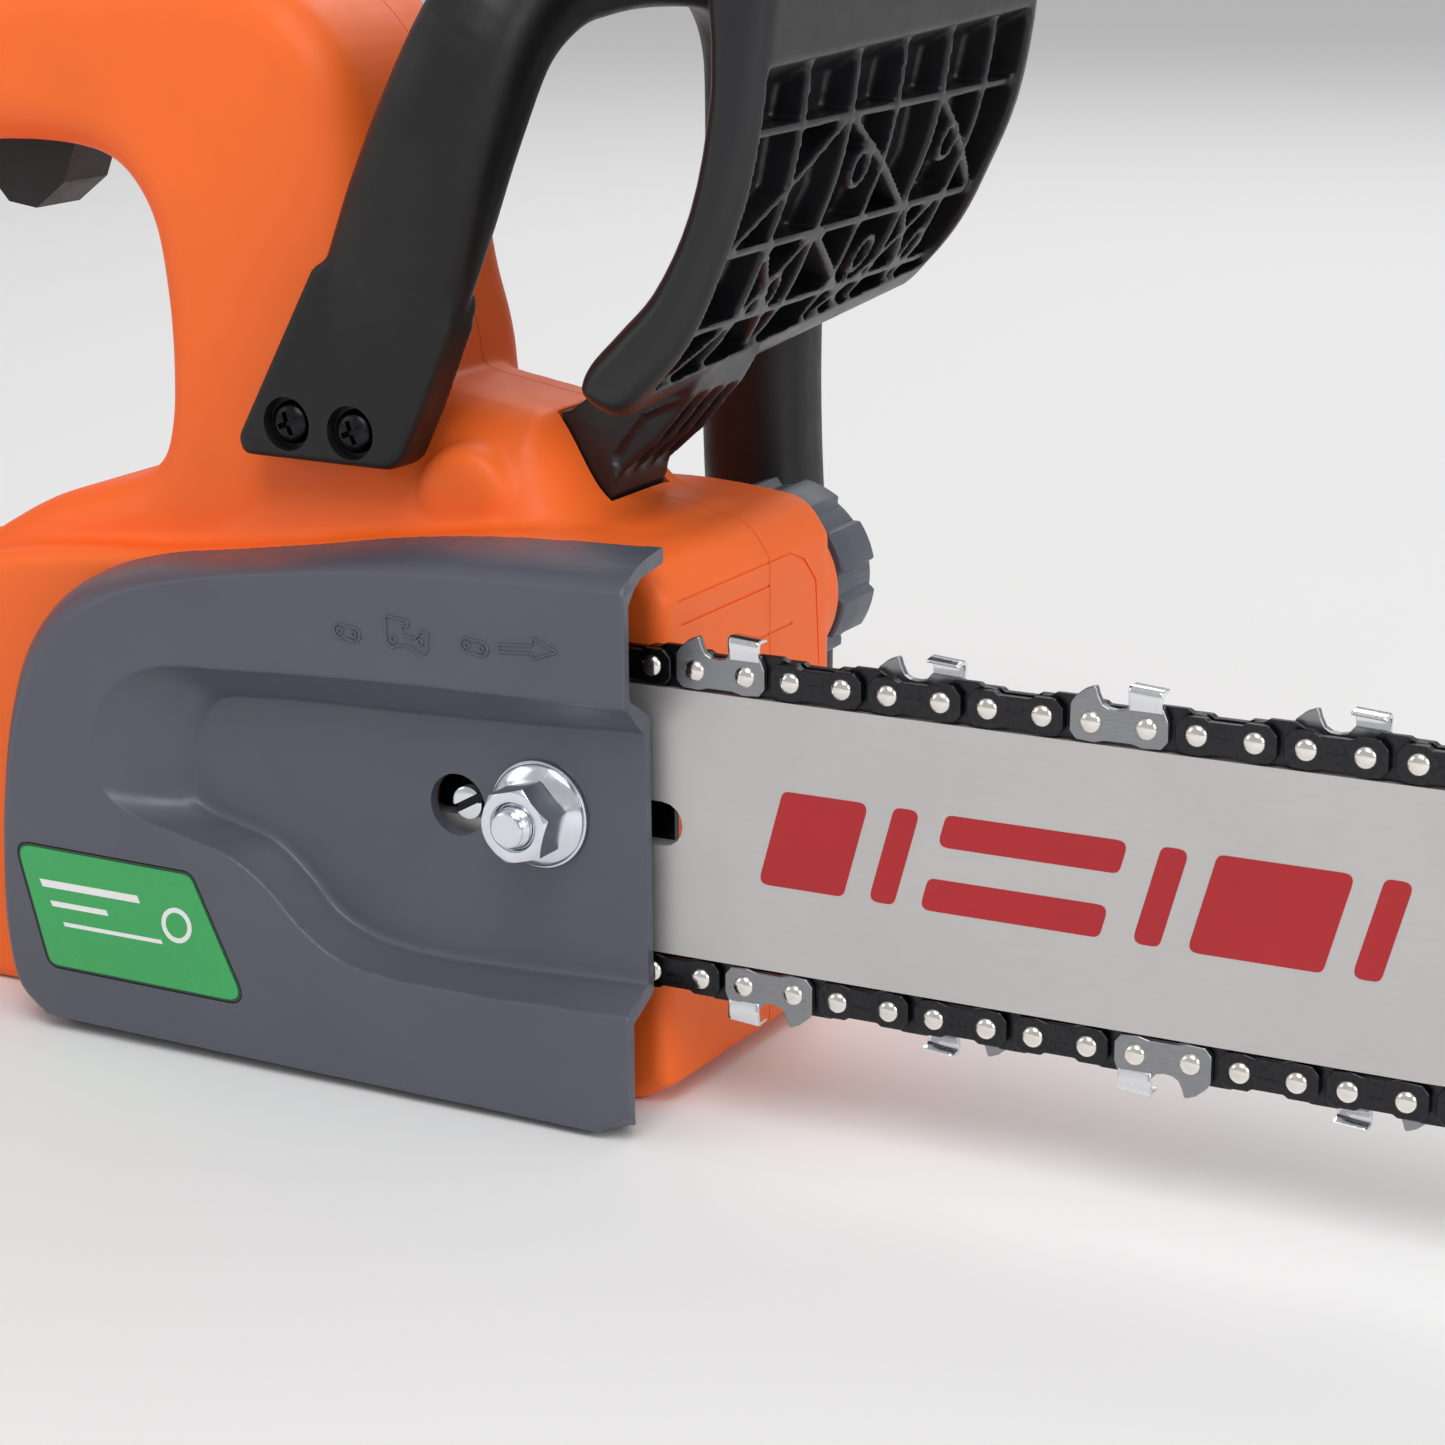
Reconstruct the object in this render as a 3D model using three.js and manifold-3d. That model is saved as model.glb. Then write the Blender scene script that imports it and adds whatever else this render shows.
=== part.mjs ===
import * as THREE from 'three';
import { mergeVertices } from 'three/examples/jsm/utils/BufferGeometryUtils.js';
import Module from 'manifold-3d';

// Cordless rear-handle chainsaw. Millimetres. +X runs forward along the guide bar,
// +Y to the operator's left, +Z up. The origin lies on the flat base of the housing.

// ---- driving dimensions ----
const PITCH = 19.05;            // length of chain per drive link
const BAR_Z = 58.8;             // height of the bar's centre line
const BAR_Y = -36.8;            // middle plane of bar and chain
const BAR_T = 4.0;              // bar thickness
const BAR_H = 25.3;             // bar half height
const RIVET_H = 29.1;           // rivet row above and below the centre line
const NOSE_X = 304.9;           // nose sprocket centre, so that the loop holds 40 drive links
const NOSE_R = 24.3;            // rivet circle round the nose
const NOSE_TEETH = 8;
const DRIVE_X = -8.4;           // drive sprocket centre
const DRIVE_R = 18.2;           // rivet circle round the drive sprocket
const DRIVE_TEETH = 6;
const STUD_X = 74.6, STUD_Z = 58.3;
const ADJ_X = 56.4, ADJ_Z = 57.4;   // hole in the cover over the chain tension screw
const SCREW_X = 57.4;               // chain tension screw
const SPLIT_Y = 8;              // parting plane of the two housing halves
const WALL = 3.0;
const RIGHT_Y = -33, LEFT_Y = 35;   // outer side faces of the housing
const CAP_X = 76.5, CAP_Z = 84.8, CAP_R = 18.0;
const GEAR_TEETH = 36, PINION_TEETH = 9, MODULE = 1.25;
const MOTOR_A = Math.PI + 0.19; // direction from spindle to motor shaft
const MOTOR_D = 0.5 * MODULE * (GEAR_TEETH + PINION_TEETH) + 0.1;
const MOTOR_X = DRIVE_X + MOTOR_D * Math.cos(MOTOR_A);
const MOTOR_Z = BAR_Z + MOTOR_D * Math.sin(MOTOR_A);
const PIVOT_X = 58.5, PIVOT_Z = 114.6;  // hand guard pivot
const DRUM_R = 11.2;                // barrel of the guard arm
const TRIG_X = -50, TRIG_Z = 183;   // trigger pivot
const GAP = 0.3;

const wasm = await Module();
wasm.setup();

// ---- solid helpers ----
function toM(g) {
  const c = g.index ? g.toNonIndexed() : g.clone();
  for (const k of Object.keys(c.attributes)) if (k !== 'position') c.deleteAttribute(k);
  const m = mergeVertices(c, 1e-4);
  const ix = m.index.array, keep = [];
  for (let i = 0; i < ix.length; i += 3) if (ix[i] !== ix[i + 1] && ix[i + 1] !== ix[i + 2] && ix[i] !== ix[i + 2]) keep.push(ix[i], ix[i + 1], ix[i + 2]);
  m.setIndex(keep);
  return new wasm.Manifold(new wasm.Mesh({
    numProp: 3,
    vertProperties: new Float32Array(m.attributes.position.array),
    triVerts: new Uint32Array(m.index.array),
  }));
}
function toG(m) {
  const mesh = m.getMesh();
  const g = new THREE.BufferGeometry();
  g.setAttribute('position', new THREE.BufferAttribute(new Float32Array(mesh.vertProperties), 3));
  g.setIndex(new THREE.BufferAttribute(new Uint32Array(mesh.triVerts), 1));
  return g;
}
const add = (...ms) => ms.reduce((a, b) => a.add(b));
const cut = (a, ...ms) => ms.reduce((x, y) => x.subtract(y), a);
const both = (a, b) => a.intersect(b);

const area2 = (l) => l.reduce((s, p, i) => s + p[0] * l[(i + 1) % l.length][1] - l[(i + 1) % l.length][0] * p[1], 0);
function extrude(pts, d, holes = []) {
  const ccw = area2(pts) > 0 ? pts : pts.slice().reverse();
  const s = new THREE.Shape(ccw.map(p => new THREE.Vector2(p[0], p[1])));
  for (const h of holes) s.holes.push(new THREE.Path((area2(h) > 0 ? h.slice().reverse() : h).map(p => new THREE.Vector2(p[0], p[1]))));
  return new THREE.ExtrudeGeometry(s, { depth: d, bevelEnabled: false, steps: 1 });
}
// profile in X-Z, running from y = a to y = b
function prismXZ(pts, a, b, holes) {
  const g = extrude(pts, b - a, holes);
  g.rotateX(Math.PI / 2);
  g.translate(0, b, 0);
  return toM(g);
}
// profile in X-Y, running from z = a to z = b
function prismXY(pts, a, b, holes) {
  const g = extrude(pts, b - a, holes);
  g.translate(0, 0, a);
  return toM(g);
}
// profile in Y-Z, running from x = a to x = b
function prismYZ(pts, a, b, holes) {
  const g = extrude(pts, b - a, holes);
  g.applyMatrix4(new THREE.Matrix4().makeBasis(new THREE.Vector3(0, 1, 0), new THREE.Vector3(0, 0, 1), new THREE.Vector3(1, 0, 0)));
  g.translate(a, 0, 0);
  return toM(g);
}
function box(x0, x1, y0, y1, z0, z1) {
  const g = new THREE.BoxGeometry(x1 - x0, y1 - y0, z1 - z0);
  g.translate((x0 + x1) / 2, (y0 + y1) / 2, (z0 + z1) / 2);
  return toM(g);
}
const circle = (x, z, r, n, ph = 0) => Array.from({ length: n }, (_, i) => [x + r * Math.cos(ph + 2 * Math.PI * i / n), z + r * Math.sin(ph + 2 * Math.PI * i / n)]);
const cylY = (x, z, r, a, b, n = 24, ph = 0) => prismXZ(circle(x, z, r, n, ph), a, b);
const cylX = (y, z, r, a, b, n = 24) => prismYZ(circle(y, z, r, n), a, b);
const cylZ = (x, y, r, a, b, n = 24) => prismXY(circle(x, y, r, n), a, b);
// turned piece about a line parallel to Y; profile points are [radius, y]
function turnY(prof, x, z, n = 24) {
  const g = new THREE.LatheGeometry(prof.map(p => new THREE.Vector2(Math.max(p[0], 0), p[1])), n);
  g.translate(x, 0, z);
  let m = toM(g);
  if (m.volume() < 0) { g.index.array.reverse(); m = toM(g); }
  return m;
}
// skin over rings of equal length, closed at both ends
function skin(rings) {
  const n = rings[0].length, pos = [], idx = [];
  for (const r of rings) for (const p of r) pos.push(p[0], p[1], p[2]);
  for (let k = 0; k + 1 < rings.length; k++) for (let i = 0; i < n; i++) {
    const j = (i + 1) % n, a = k * n + i, b = k * n + j, c = a + n, d = b + n;
    idx.push(a, b, d, a, d, c);
  }
  for (const [k, flip] of [[0, true], [rings.length - 1, false]]) {
    const r = rings[k].map(p => new THREE.Vector3(...p));
    const nrm = new THREE.Vector3();
    for (let i = 0; i < n; i++) { const a = r[i], b = r[(i + 1) % n]; nrm.add(new THREE.Vector3((a.y - b.y) * (a.z + b.z), (a.z - b.z) * (a.x + b.x), (a.x - b.x) * (a.y + b.y))); }
    nrm.normalize();
    const u = new THREE.Vector3(Math.abs(nrm.x) < 0.9 ? 1 : 0, Math.abs(nrm.x) < 0.9 ? 0 : 1, 0).cross(nrm).normalize();
    const v = nrm.clone().cross(u);
    const flat = r.map(p => new THREE.Vector2(p.dot(u), p.dot(v)));
    for (const t of THREE.ShapeUtils.triangulateShape(flat, [])) {
      const q = t.map(i => k * n + i);
      if (flip) idx.push(q[0], q[2], q[1]); else idx.push(q[0], q[1], q[2]);
    }
  }
  const g = new THREE.BufferGeometry();
  g.setAttribute('position', new THREE.BufferAttribute(new Float32Array(pos), 3));
  g.setIndex(idx);
  let m = toM(g);
  if (m.volume() < 0) {
    const q = []; for (let i = 0; i < idx.length; i += 3) q.push(idx[i], idx[i + 2], idx[i + 1]);
    g.setIndex(q); m = toM(g);
  }
  return m;
}
// moves a closed outline inward by d (outward when negative)
function inset(pts, d) {
  const n = pts.length;
  let area = 0;
  for (let i = 0; i < n; i++) { const a = pts[i], b = pts[(i + 1) % n]; area += a[0] * b[1] - b[0] * a[1]; }
  const s = area > 0 ? 1 : -1;
  return pts.map((p, i) => {
    const a = pts[(i + n - 1) % n], b = pts[(i + 1) % n];
    let u = [p[0] - a[0], p[1] - a[1]], v = [b[0] - p[0], b[1] - p[1]];
    const lu = Math.hypot(...u), lv = Math.hypot(...v);
    u = [u[0] / lu, u[1] / lu]; v = [v[0] / lv, v[1] / lv];
    const nu = [-u[1] * s, u[0] * s], nv = [-v[1] * s, v[0] * s];
    const k = Math.max(0.35, 1 + nu[0] * nv[0] + nu[1] * nv[1]);
    return [p[0] + d * (nu[0] + nv[0]) / k, p[1] + d * (nu[1] + nv[1]) / k];
  });
}
// outline in X-Z carried along Y through stations [y, inset]
const along = (pts, stations) => skin(stations.map(([y, d]) => inset(pts, d).map(p => [p[0], y, p[1]])));
// blend of two outlines of equal length through stations [y, share of the second]
const blend = (a, b, stations) => skin(stations.map(([y, s]) => a.map((p, i) => [p[0] * (1 - s) + b[i][0] * s, y, p[1] * (1 - s) + b[i][1] * s])));
// section [half width, half depth] swept along a 3-D path; ref gives the depth direction
function sweep(path, sec, n, ref) {
  const P = path.map(p => new THREE.Vector3(...p));
  const rings = P.map((p, i) => {
    const t = new THREE.Vector3().subVectors(P[Math.min(i + 1, P.length - 1)], P[Math.max(i - 1, 0)]).normalize();
    const r = new THREE.Vector3(...ref);
    const side = new THREE.Vector3().crossVectors(t, r).normalize();
    const up = new THREE.Vector3().crossVectors(side, t).normalize();
    const [a, b] = typeof sec === 'function' ? sec(i / (P.length - 1), i) : sec;
    return Array.from({ length: n }, (_, k) => {
      const w = 2 * Math.PI * (k + 0.5) / n, c = Math.cos(w), s = Math.sin(w);
      const e = 0.75, cx = Math.sign(c) * Math.abs(c) ** e, sy = Math.sign(s) * Math.abs(s) ** e;
      const q = p.clone().addScaledVector(side, a * cx).addScaledVector(up, b * sy);
      return [q.x, q.y, q.z];
    });
  });
  return skin(rings);
}
const rotY = (m, x, z, ang) => {   // turns a solid about a line parallel to Y
  const g = toG(m); g.translate(-x, 0, -z); g.rotateY(ang); g.translate(x, 0, z); return toM(g);
};

const group = new THREE.Group();
group.name = 'chainsaw';
function put(name, m, color, rough = 0.6, metal = 0) {
  const mesh = new THREE.Mesh(toG(m), new THREE.MeshStandardMaterial({ color, roughness: rough, metalness: metal }));
  mesh.name = name;
  group.add(mesh);
  return m;
}
const ORANGE = 0xf5713c, GREY = 0x585b67, BLACK = 0x1c1c1f, STEEL = 0xb9babd, ZINC = 0xc9ccd2, DARK = 0x2b2d33;

// ---- housing outlines (X, Z) ----
const bodyLine = [[88, 0], [95, 4], [95.6, 98], [90.5, 104.3], [80, 106.3], [60, 107], [40, 104.5], [20, 101.5], [0, 98.5], [-20, 96], [-40, 94.5], [-58, 92], [-75, 87], [-95, 81.5], [-120, 79], [-150, 79], [-180, 80], [-201, 79], [-206, 74], [-206, 64], [-98, 64], [-98, 3], [-95, 0]];
const loopLine = [[34, 84], [32, 134], [28, 150], [24, 175], [18, 193], [6, 204], [-10, 208], [-40, 207], [-90, 201], [-150, 190], [-183, 181], [-199, 170], [-206, 150], [-207.5, 120], [-206, 72], [-100, 70], [-30, 74]];
const handHole = [[-57, 100.5], [-33, 107.8], [-27.5, 112], [-25, 119], [-24, 130], [-24.5, 145], [-27.5, 160], [-35, 169], [-50, 172.5], [-90, 170], [-140, 161], [-163, 153], [-173, 140], [-176, 120], [-172, 100], [-162, 87.5], [-148, 82], [-120, 79.5], [-101, 80.5], [-84, 86.2]];
const humpLine = [[-24, 92], [10, 133.5], [23, 132.6], [35, 129.9], [45, 128.1], [57.3, 126], [60, 122.2], [69, 109.2], [80, 107.4], [88, 104.6], [88, 97]];
const humpFoot = [[-24, 90], [10, 98], [23, 100], [35, 101.5], [45, 102.5], [57.3, 103], [60, 103], [69, 102.8], [80, 102], [88, 100], [88, 97]];

const bodyOuter = along(bodyLine, [[RIGHT_Y, 3.6], [RIGHT_Y + 1.4, 1.1], [RIGHT_Y + 4.5, 0], [LEFT_Y - 4.5, 0], [LEFT_Y - 1.4, 1.1], [LEFT_Y, 3.6]]);
const loopOuter = along(loopLine, [[-23, 7], [-20.5, 2.6], [-15, 0], [19, 0], [24.5, 2.6], [27, 7]]);
const holeCut = along(handHole, [[-40, -9], [-23, -8.5], [-20.5, -3.2], [-15, 0], [19, 0], [24.5, -3.2], [27, -8.5], [42, -9]]);
const humpOuter = blend(humpFoot, humpLine, [[-26, 0], [-24.6, 0.14], [-22.5, 0.38], [-20, 0.6], [-17, 0.8], [-14, 0.92], [-10, 0.985], [-6, 1], [10, 1], [14, 0.985], [18, 0.91], [22, 0.75], [26, 0.4], [28, 0]]);
// rounded shoulder on the hump's right wall
const shoulder = both(turnY([[0, -24.6], [8.5, -24.6], [10.2, -23], [10.6, -18], [10.6, -12], [0, -12]], 46, 110.5, 24), box(30, 60, -30, -10, 104, 130));
// raised ring round the filler on the left
const fillerBoss = turnY([[0, 28], [18.4, 28], [18.4, 38.4], [17.2, 39.6], [0, 39.6]], CAP_X + 0.6, CAP_Z, 36);
const shellOuter = add(bodyOuter, cut(loopOuter, holeCut), humpOuter, shoulder, fillerBoss);

// inner spaces
const bodyIn = [[88, WALL], [92, 5], [92.3, 96], [88, 101.4], [79, 103.3], [60, 104], [40, 101.5], [20, 98.5], [0, 95.5], [-20, 93], [-40, 91.5], [-57, 89], [-74, 84], [-93, 78.5], [-95, 67], [-95, WALL]];
const rearIn = [[-80, 81.5], [-95, 77.6], [-120, 76], [-150, 76], [-180, 77], [-199, 76], [-202.5, 72], [-202.5, 67], [-94, 67]];
const cavity = add(
  along(bodyIn, [[RIGHT_Y + WALL, 1.5], [RIGHT_Y + WALL + 3, 0], [LEFT_Y - WALL - 3, 0], [LEFT_Y - WALL, 1.5]]),
  along(rearIn, [[-29, 1], [-27, 0], [29, 0], [31, 1]]));
const loopIn = cut(along(inset(loopLine, WALL), [[-20, 6], [-14, 0], [18, 0], [24, 6]]), along(inset(handHole, -WALL), [[-40, -6], [-20, -5.5], [-14, 0], [18, 0], [24, -5.5], [42, -6]]));
const humpIn = blend(inset(humpFoot, 1.5), inset(humpLine, WALL), [[-21.5, 0.1], [-20, 0.34], [-17.5, 0.58], [-15, 0.75], [-12, 0.89], [-9, 0.97], [-6, 1], [10, 1], [13, 0.98], [16.5, 0.94], [20, 0.72], [24, 0.3]]);

let housing = cut(shellOuter, cavity, loopIn, humpIn);

// screw posts joining the halves: [x, z, y of right end, y of left outer face]
const posts = [[86, 14, RIGHT_Y + 1, LEFT_Y], [-88, 14, RIGHT_Y + 1, LEFT_Y], [-88, 72, RIGHT_Y + 1, LEFT_Y], [12, 192, -20, 25.4], [-192, 160, -20, 25.4], [-194, 73, -30, LEFT_Y - 0.5]];
for (const [x, z, y0] of posts) housing = add(housing, both(cylY(x, z, 4.6, y0, 32, 14), shellOuter));
for (const [x, z, y0, y1] of posts) housing = cut(housing, cylY(x, z, 1.9, y0 + 6, 60, 12), cylY(x, z, 3.9, y1 - 4, 60, 16));

// openings through the walls
housing = cut(housing,
  cylY(DRIVE_X, BAR_Z, 9.2, -40, -26, 28),                        // spindle bearing seat
  box(48, 69, -40, -25, 42, 48),                                  // tension pin window
  cylY(SCREW_X, ADJ_Z, 3.6, -40, -25, 18),                          // tension screw
  cylY(STUD_X, STUD_Z, 4.2, -40, -25, 20),                        // bar stud
  cylY(CAP_X, CAP_Z, 13.2, 20, 60, 32),                           // filler neck
  box(57.3, 69.2, -6, 16.6, 104.5, 140),                            // hand guard slot
  box(-93, -52.6, -5.6, 9.6, 150, 190),                             // trigger slot
  cylY(-42, 190, 7.6, 15, 40, 22),                                // lock-off button
  box(-114, -92, -17, 19, 20, 48),                                // battery terminals
  cylY(42, 26, 9.2, 28, 60, 24),                                  // oil window
);
// ribs that hold bearing, stud, and the guard pivot
const pivotPlate = [[48, 125.5], [56.6, 125], [62.5, 118.5], [63, 111], [58.5, 109], [52, 111.5], [48, 116]];
housing = add(housing,
  both(cut(cylY(DRIVE_X, BAR_Z, 12.2, -32, -26.6, 28), cylY(DRIVE_X, BAR_Z, 9.2, -40, -26, 28)), shellOuter),
  both(cut(cylY(STUD_X, STUD_Z, 9, -32, -22, 20), cylY(STUD_X, STUD_Z, 4.2, -40, -20, 20)), shellOuter),
  both(add(prismXZ(pivotPlate, -8.4, -6.3), prismXZ(pivotPlate, 16.9, 19.2)), shellOuter));
housing = cut(housing, cylY(PIVOT_X, PIVOT_Z, 2.3, -10, 20.5, 14));
// battery rails hanging from the bay roof, with end walls
housing = add(housing,
  box(-196, -100, -24, -21, 56.5, 66), box(-196, -100, -24, -18.5, 56.5, 58.8),
  box(-196, -100, 23, 26, 56.5, 66), box(-196, -100, 20.5, 26, 56.5, 58.8));
// recess for the soft grip
const gripTop = [[-28, 207.6], [-40, 207.2], [-90, 201.2], [-150, 190.2], [-183, 181.2], [-199, 170.2], [-206.2, 150], [-207.2, 128]];
const gripIn = [[-203.2, 130], [-202.3, 150], [-196, 167.6], [-181.5, 177.9], [-149.4, 187.0], [-89.6, 198.0], [-40, 204.0], [-30, 204.2]];
const gripBand = (g) => [...gripTop.map(p => [p[0], p[1]]), ...gripIn];
const gripOuterLine = inset(gripBand(0), -GAP);
housing = cut(housing, prismXZ(inset(gripBand(0), -0.6), -11, 15));
// shallow crease panel on the front face
for (const [y0, y1, z] of [[-28, 16, 97], [-27, 8, 92.4], [3.6, 17.4, 83], [-31, -12, 12.9]]) housing = cut(housing, box(95.0, 99, y0, y1, z, z + 0.8));

const rightHalf = cut(both(housing, box(-260, 160, -60, SPLIT_Y - GAP / 2, -5, 260)));
const leftHalf = both(housing, box(-260, 160, SPLIT_Y + GAP / 2, 60, -5, 260));
const biggest = (m) => { const ps = m.decompose(); ps.sort((a, b) => b.volume() - a.volume()); return ps[0]; };
put('housing_right', biggest(rightHalf), ORANGE);
put('housing_left', biggest(leftHalf), ORANGE);
put('grip_overmould', prismXZ(gripBand(0), -10.6, 14.6), BLACK, 0.85);
posts.forEach(([x, z, y0, y1], i) => {
  const head = cylY(x, z, 3.5, y1 - 3.7, y1 - 1.2, 14);
  const shank = cylY(x, z, 1.6, Math.max(y0 + 7, y1 - 30), y1 - 3.0, 8);
  put('housing_screw_' + (i + 1), cut(add(head, shank), box(x - 0.6, x + 0.6, y1 - 2.2, y1, z - 2, z + 2), box(x - 2, x + 2, y1 - 2.2, y1, z - 0.6, z + 0.6)), DARK, 0.4, 0.8);
});

// ---- sprocket cover ----
const coverBase = [[98, 108.7], [62, 107.3], [40, 105], [22, 102], [2, 99], [-17, 96], [-32, 90.5], [-41.5, 80.5], [-46.5, 66], [-49, 50], [-50, 36], [-50, 18], [-46.5, 5.5], [-39.5, 0.8], [20, 0.6], [91, 0.6], [98, 0.6]];
const coverFace = [[98, 103.6], [62, 103], [40, 101.8], [22, 99.8], [4, 97], [-12.7, 92.4], [-25, 85.5], [-34.6, 75], [-40.5, 62], [-43.5, 48], [-44.8, 36.8], [-45.2, 19.9], [-43, 9], [-37, 3.4], [20, 2.4], [90.5, 1.4], [97.5, 7]];
const coverOut = blend(coverBase, coverFace, [[-33.4, 0], [-44, 0.18], [-48.5, 0.42], [-51, 0.72], [-52, 1]]);
const cbi = inset(coverBase, 2.4), cfi = inset(coverFace, 2.4);
for (const l of [cbi, cfi]) { l[0][0] = 112; l[l.length - 1][0] = 112; l[l.length - 2][0] = 100; }
const coverIn = blend(cbi, cfi, [[-30, 0], [-44, 0.18], [-47.2, 0.5], [-49.6, 0.95]]);
const recFloor = [[110, 77.2], [74, 75.2], [44.7, 74.1], [14.2, 73.1], [3.5, 71.5], [-1, 66], [-3.5, 58], [-4, 51], [1, 48], [8, 46.3], [15, 44.4], [22.7, 38.5], [28.7, 32.4], [36, 28.9], [48, 27], [110, 29.3]];
const recOut = [[110, 82.9], [74, 82.6], [44, 81.9], [12, 80.2], [-7, 78.4], [-17, 72.5], [-21.8, 62.5], [-20.5, 53], [-13, 48.3], [-1, 45.6], [9.5, 43], [18, 38], [25, 31.5], [33.5, 26.2], [45, 24.2], [110, 25.2]];
const recCut = blend(recFloor, recOut, [[-43, 0], [-52, 1], [-56, 1.2]]);
const recWall = blend(inset(recFloor, -2.4), inset(recOut, -2.4), [[-40.6, 0], [-52, 1]]);
let cover = add(cut(coverOut, coverIn), both(recWall, both(coverOut, box(-60, 98, -60, -30, 0, 120))));
cover = cut(cover, recCut);
cover = add(cover, cylY(STUD_X, STUD_Z, 8.5, -41.5, -39.1, 28));               // pressure pad on the bar
cover = cut(cover, cylY(STUD_X, STUD_Z, 4.3, -60, -30, 24), cylY(ADJ_X, ADJ_Z, 6, -60, -30, 28));
const labelLine = [[-40, 38.6], [-3, 38.2], [1.8, 35.8], [11.2, 17.4], [8.8, 13.4], [-33, 13.8], [-36, 16], [-42, 36.4]];
cover = cut(cover, prismXZ(inset(labelLine, -0.35), -53, -51.3));
cover = add(cover, box(-46, -36, -36, -33.5, 60, 72));
// front edge leans back towards the housing, and the floor stops short to let chips fall
cover = cut(cover, prismXY([[98.05, -53], [95.6, -33], [120, -33], [120, -53]], -5, 120), prismXY([[98, -50.2], [85, -33], [85, -28], [110, -28], [110, -50.2]], -5, 9));
put('sprocket_cover', biggest(cover), GREY);
put('cover_label', prismXZ(labelLine, -52.3, -51.6), 0x46af64, 0.35);

// ---- guide bar ----
function barLine(extra = 0) {
  const pts = [];
  const H = BAR_H + extra, nr = NOSE_R - 3.8 + extra;
  const topSide = [[96, H], [NOSE_X - 63, H], [NOSE_X - 41, H - 0.5], [NOSE_X - 23, H - 1.7], [NOSE_X - 10, H - 3.3]];
  pts.push([24, 13 + extra], [40, 18.5 + extra], [62, H - 2], [78, H - 0.4]);
  for (const p of topSide) pts.push(p);
  for (let i = 0; i <= 12; i++) { const a = Math.PI * (0.5 - 0.06) - i * Math.PI * (1 - 0.12) / 12; pts.push([NOSE_X + nr * Math.cos(a), nr * Math.sin(a)]); }
  for (const p of [...topSide].reverse()) pts.push([p[0], -p[1]]);
  pts.push([78, -H + 0.4], [62, -H + 2], [40, -18.5 - extra], [24, -13 - extra]);
  return pts.map(p => [p[0], p[1] + BAR_Z]);
}
const slotX0 = 44, slotX1 = 102;
const slot = [];
for (let i = 0; i <= 8; i++) slot.push([slotX1 - 4.2 + 4.2 * Math.cos(-Math.PI / 2 + Math.PI * i / 8), STUD_Z + 4.2 * Math.sin(-Math.PI / 2 + Math.PI * i / 8)]);
for (let i = 0; i <= 8; i++) slot.push([slotX0 + 4.2 + 4.2 * Math.cos(Math.PI / 2 + Math.PI * i / 8), STUD_Z + 4.2 * Math.sin(Math.PI / 2 + Math.PI * i / 8)]);
const PIN_X = 56, PIN_Z = 45;      // tension pin and its hole in the bar
let bar = prismXZ(barLine(), BAR_Y - BAR_T / 2, BAR_Y + BAR_T / 2, [slot.slice().reverse(), circle(PIN_X, PIN_Z, 3.1, 16).reverse(), circle(PIN_X, 2 * BAR_Z - PIN_Z, 3.1, 16).reverse()]);
// groove round the edge, leaving the core solid
const grooveRing = cut(prismXZ(barLine(3), BAR_Y - 0.8, BAR_Y + 0.8), prismXZ(inset(barLine(), 5.2), BAR_Y - 2, BAR_Y + 2));
bar = cut(bar, both(grooveRing, box(60, 400, -50, -20, 0, 120)));
bar = cut(bar, both(cylY(NOSE_X, BAR_Z, 24, BAR_Y - 0.8, BAR_Y + 0.8, 32), box(NOSE_X - 21, NOSE_X + 40, -50, -20, 0, 120)));
bar = add(bar, cylY(NOSE_X, BAR_Z, 4.6, BAR_Y - 1.2, BAR_Y + 1.2, 20));
put('guide_bar', biggest(bar), 0xbebbbc, 0.35, 0.9);
// star wheel in the nose
function star(teeth, rRoot, rTip, wRoot, wTip, ph, hole) {
  const pts = [];
  for (let i = 0; i < teeth; i++) {
    const a = ph + 2 * Math.PI * i / teeth;
    for (const [r, w] of [[rRoot, -wRoot], [rTip, -wTip], [rTip, wTip], [rRoot, wRoot]]) pts.push([r * Math.cos(a + w / r), r * Math.sin(a + w / r)]);
  }
  return pts;
}
const moved = (pts, x, z) => pts.map(p => [p[0] + x, p[1] + z]);
put('nose_sprocket', prismXZ(moved(star(NOSE_TEETH, 13.5, 20.2, 3.6, 1.6, 0), NOSE_X, BAR_Z), BAR_Y - 0.6, BAR_Y + 0.6, [circle(NOSE_X, BAR_Z, 4.75, 20).reverse()]), STEEL, 0.4, 0.9);

// ---- saw chain ----
// outline of the links above the rivet line along one straight run: every second link
// is a tie strap, the others are cutters alternately on the near and far side
const STRAP = 3.0, INNER = 3.35;
function runLine(x0, x1, firstPair, side, cutterParity, mirror) {
  const up = [];
  const n0 = Math.ceil((x0 - firstPair) / PITCH - 0.3), n1 = Math.floor((x1 - firstPair) / PITCH + 0.3);
  up.push([x0, 1.2]);
  for (let k = n0; k <= n1; k++) {
    const c = firstPair + k * PITCH;
    const shape = (((k + cutterParity) % 2) + 2) % 2 === 0
      ? [[-8.6, 1.2], [-7.8, 5.4], [-5.6, 4.6], [-2.6, 2.0], [0.4, 2.0], [1.8, 6.2], [8.2, 5.7], [8.6, 1.2]]
      : [[-8.6, 1.2], [-7.2, STRAP], [7.2, STRAP], [8.6, 1.2]];
    const s = mirror ? shape.map(p => [-p[0], p[1]]).reverse() : shape;
    for (const [dx, dz] of s) if (c + dx > x0 + 0.3 && c + dx < x1 - 0.3) up.push([c + dx, dz]);
  }
  up.push([x1, 1.2], [x1, -INNER], [x0, -INNER]);
  return up.map(([x, z]) => [x, BAR_Z + side * (RIVET_H + z)]);
}
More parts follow.
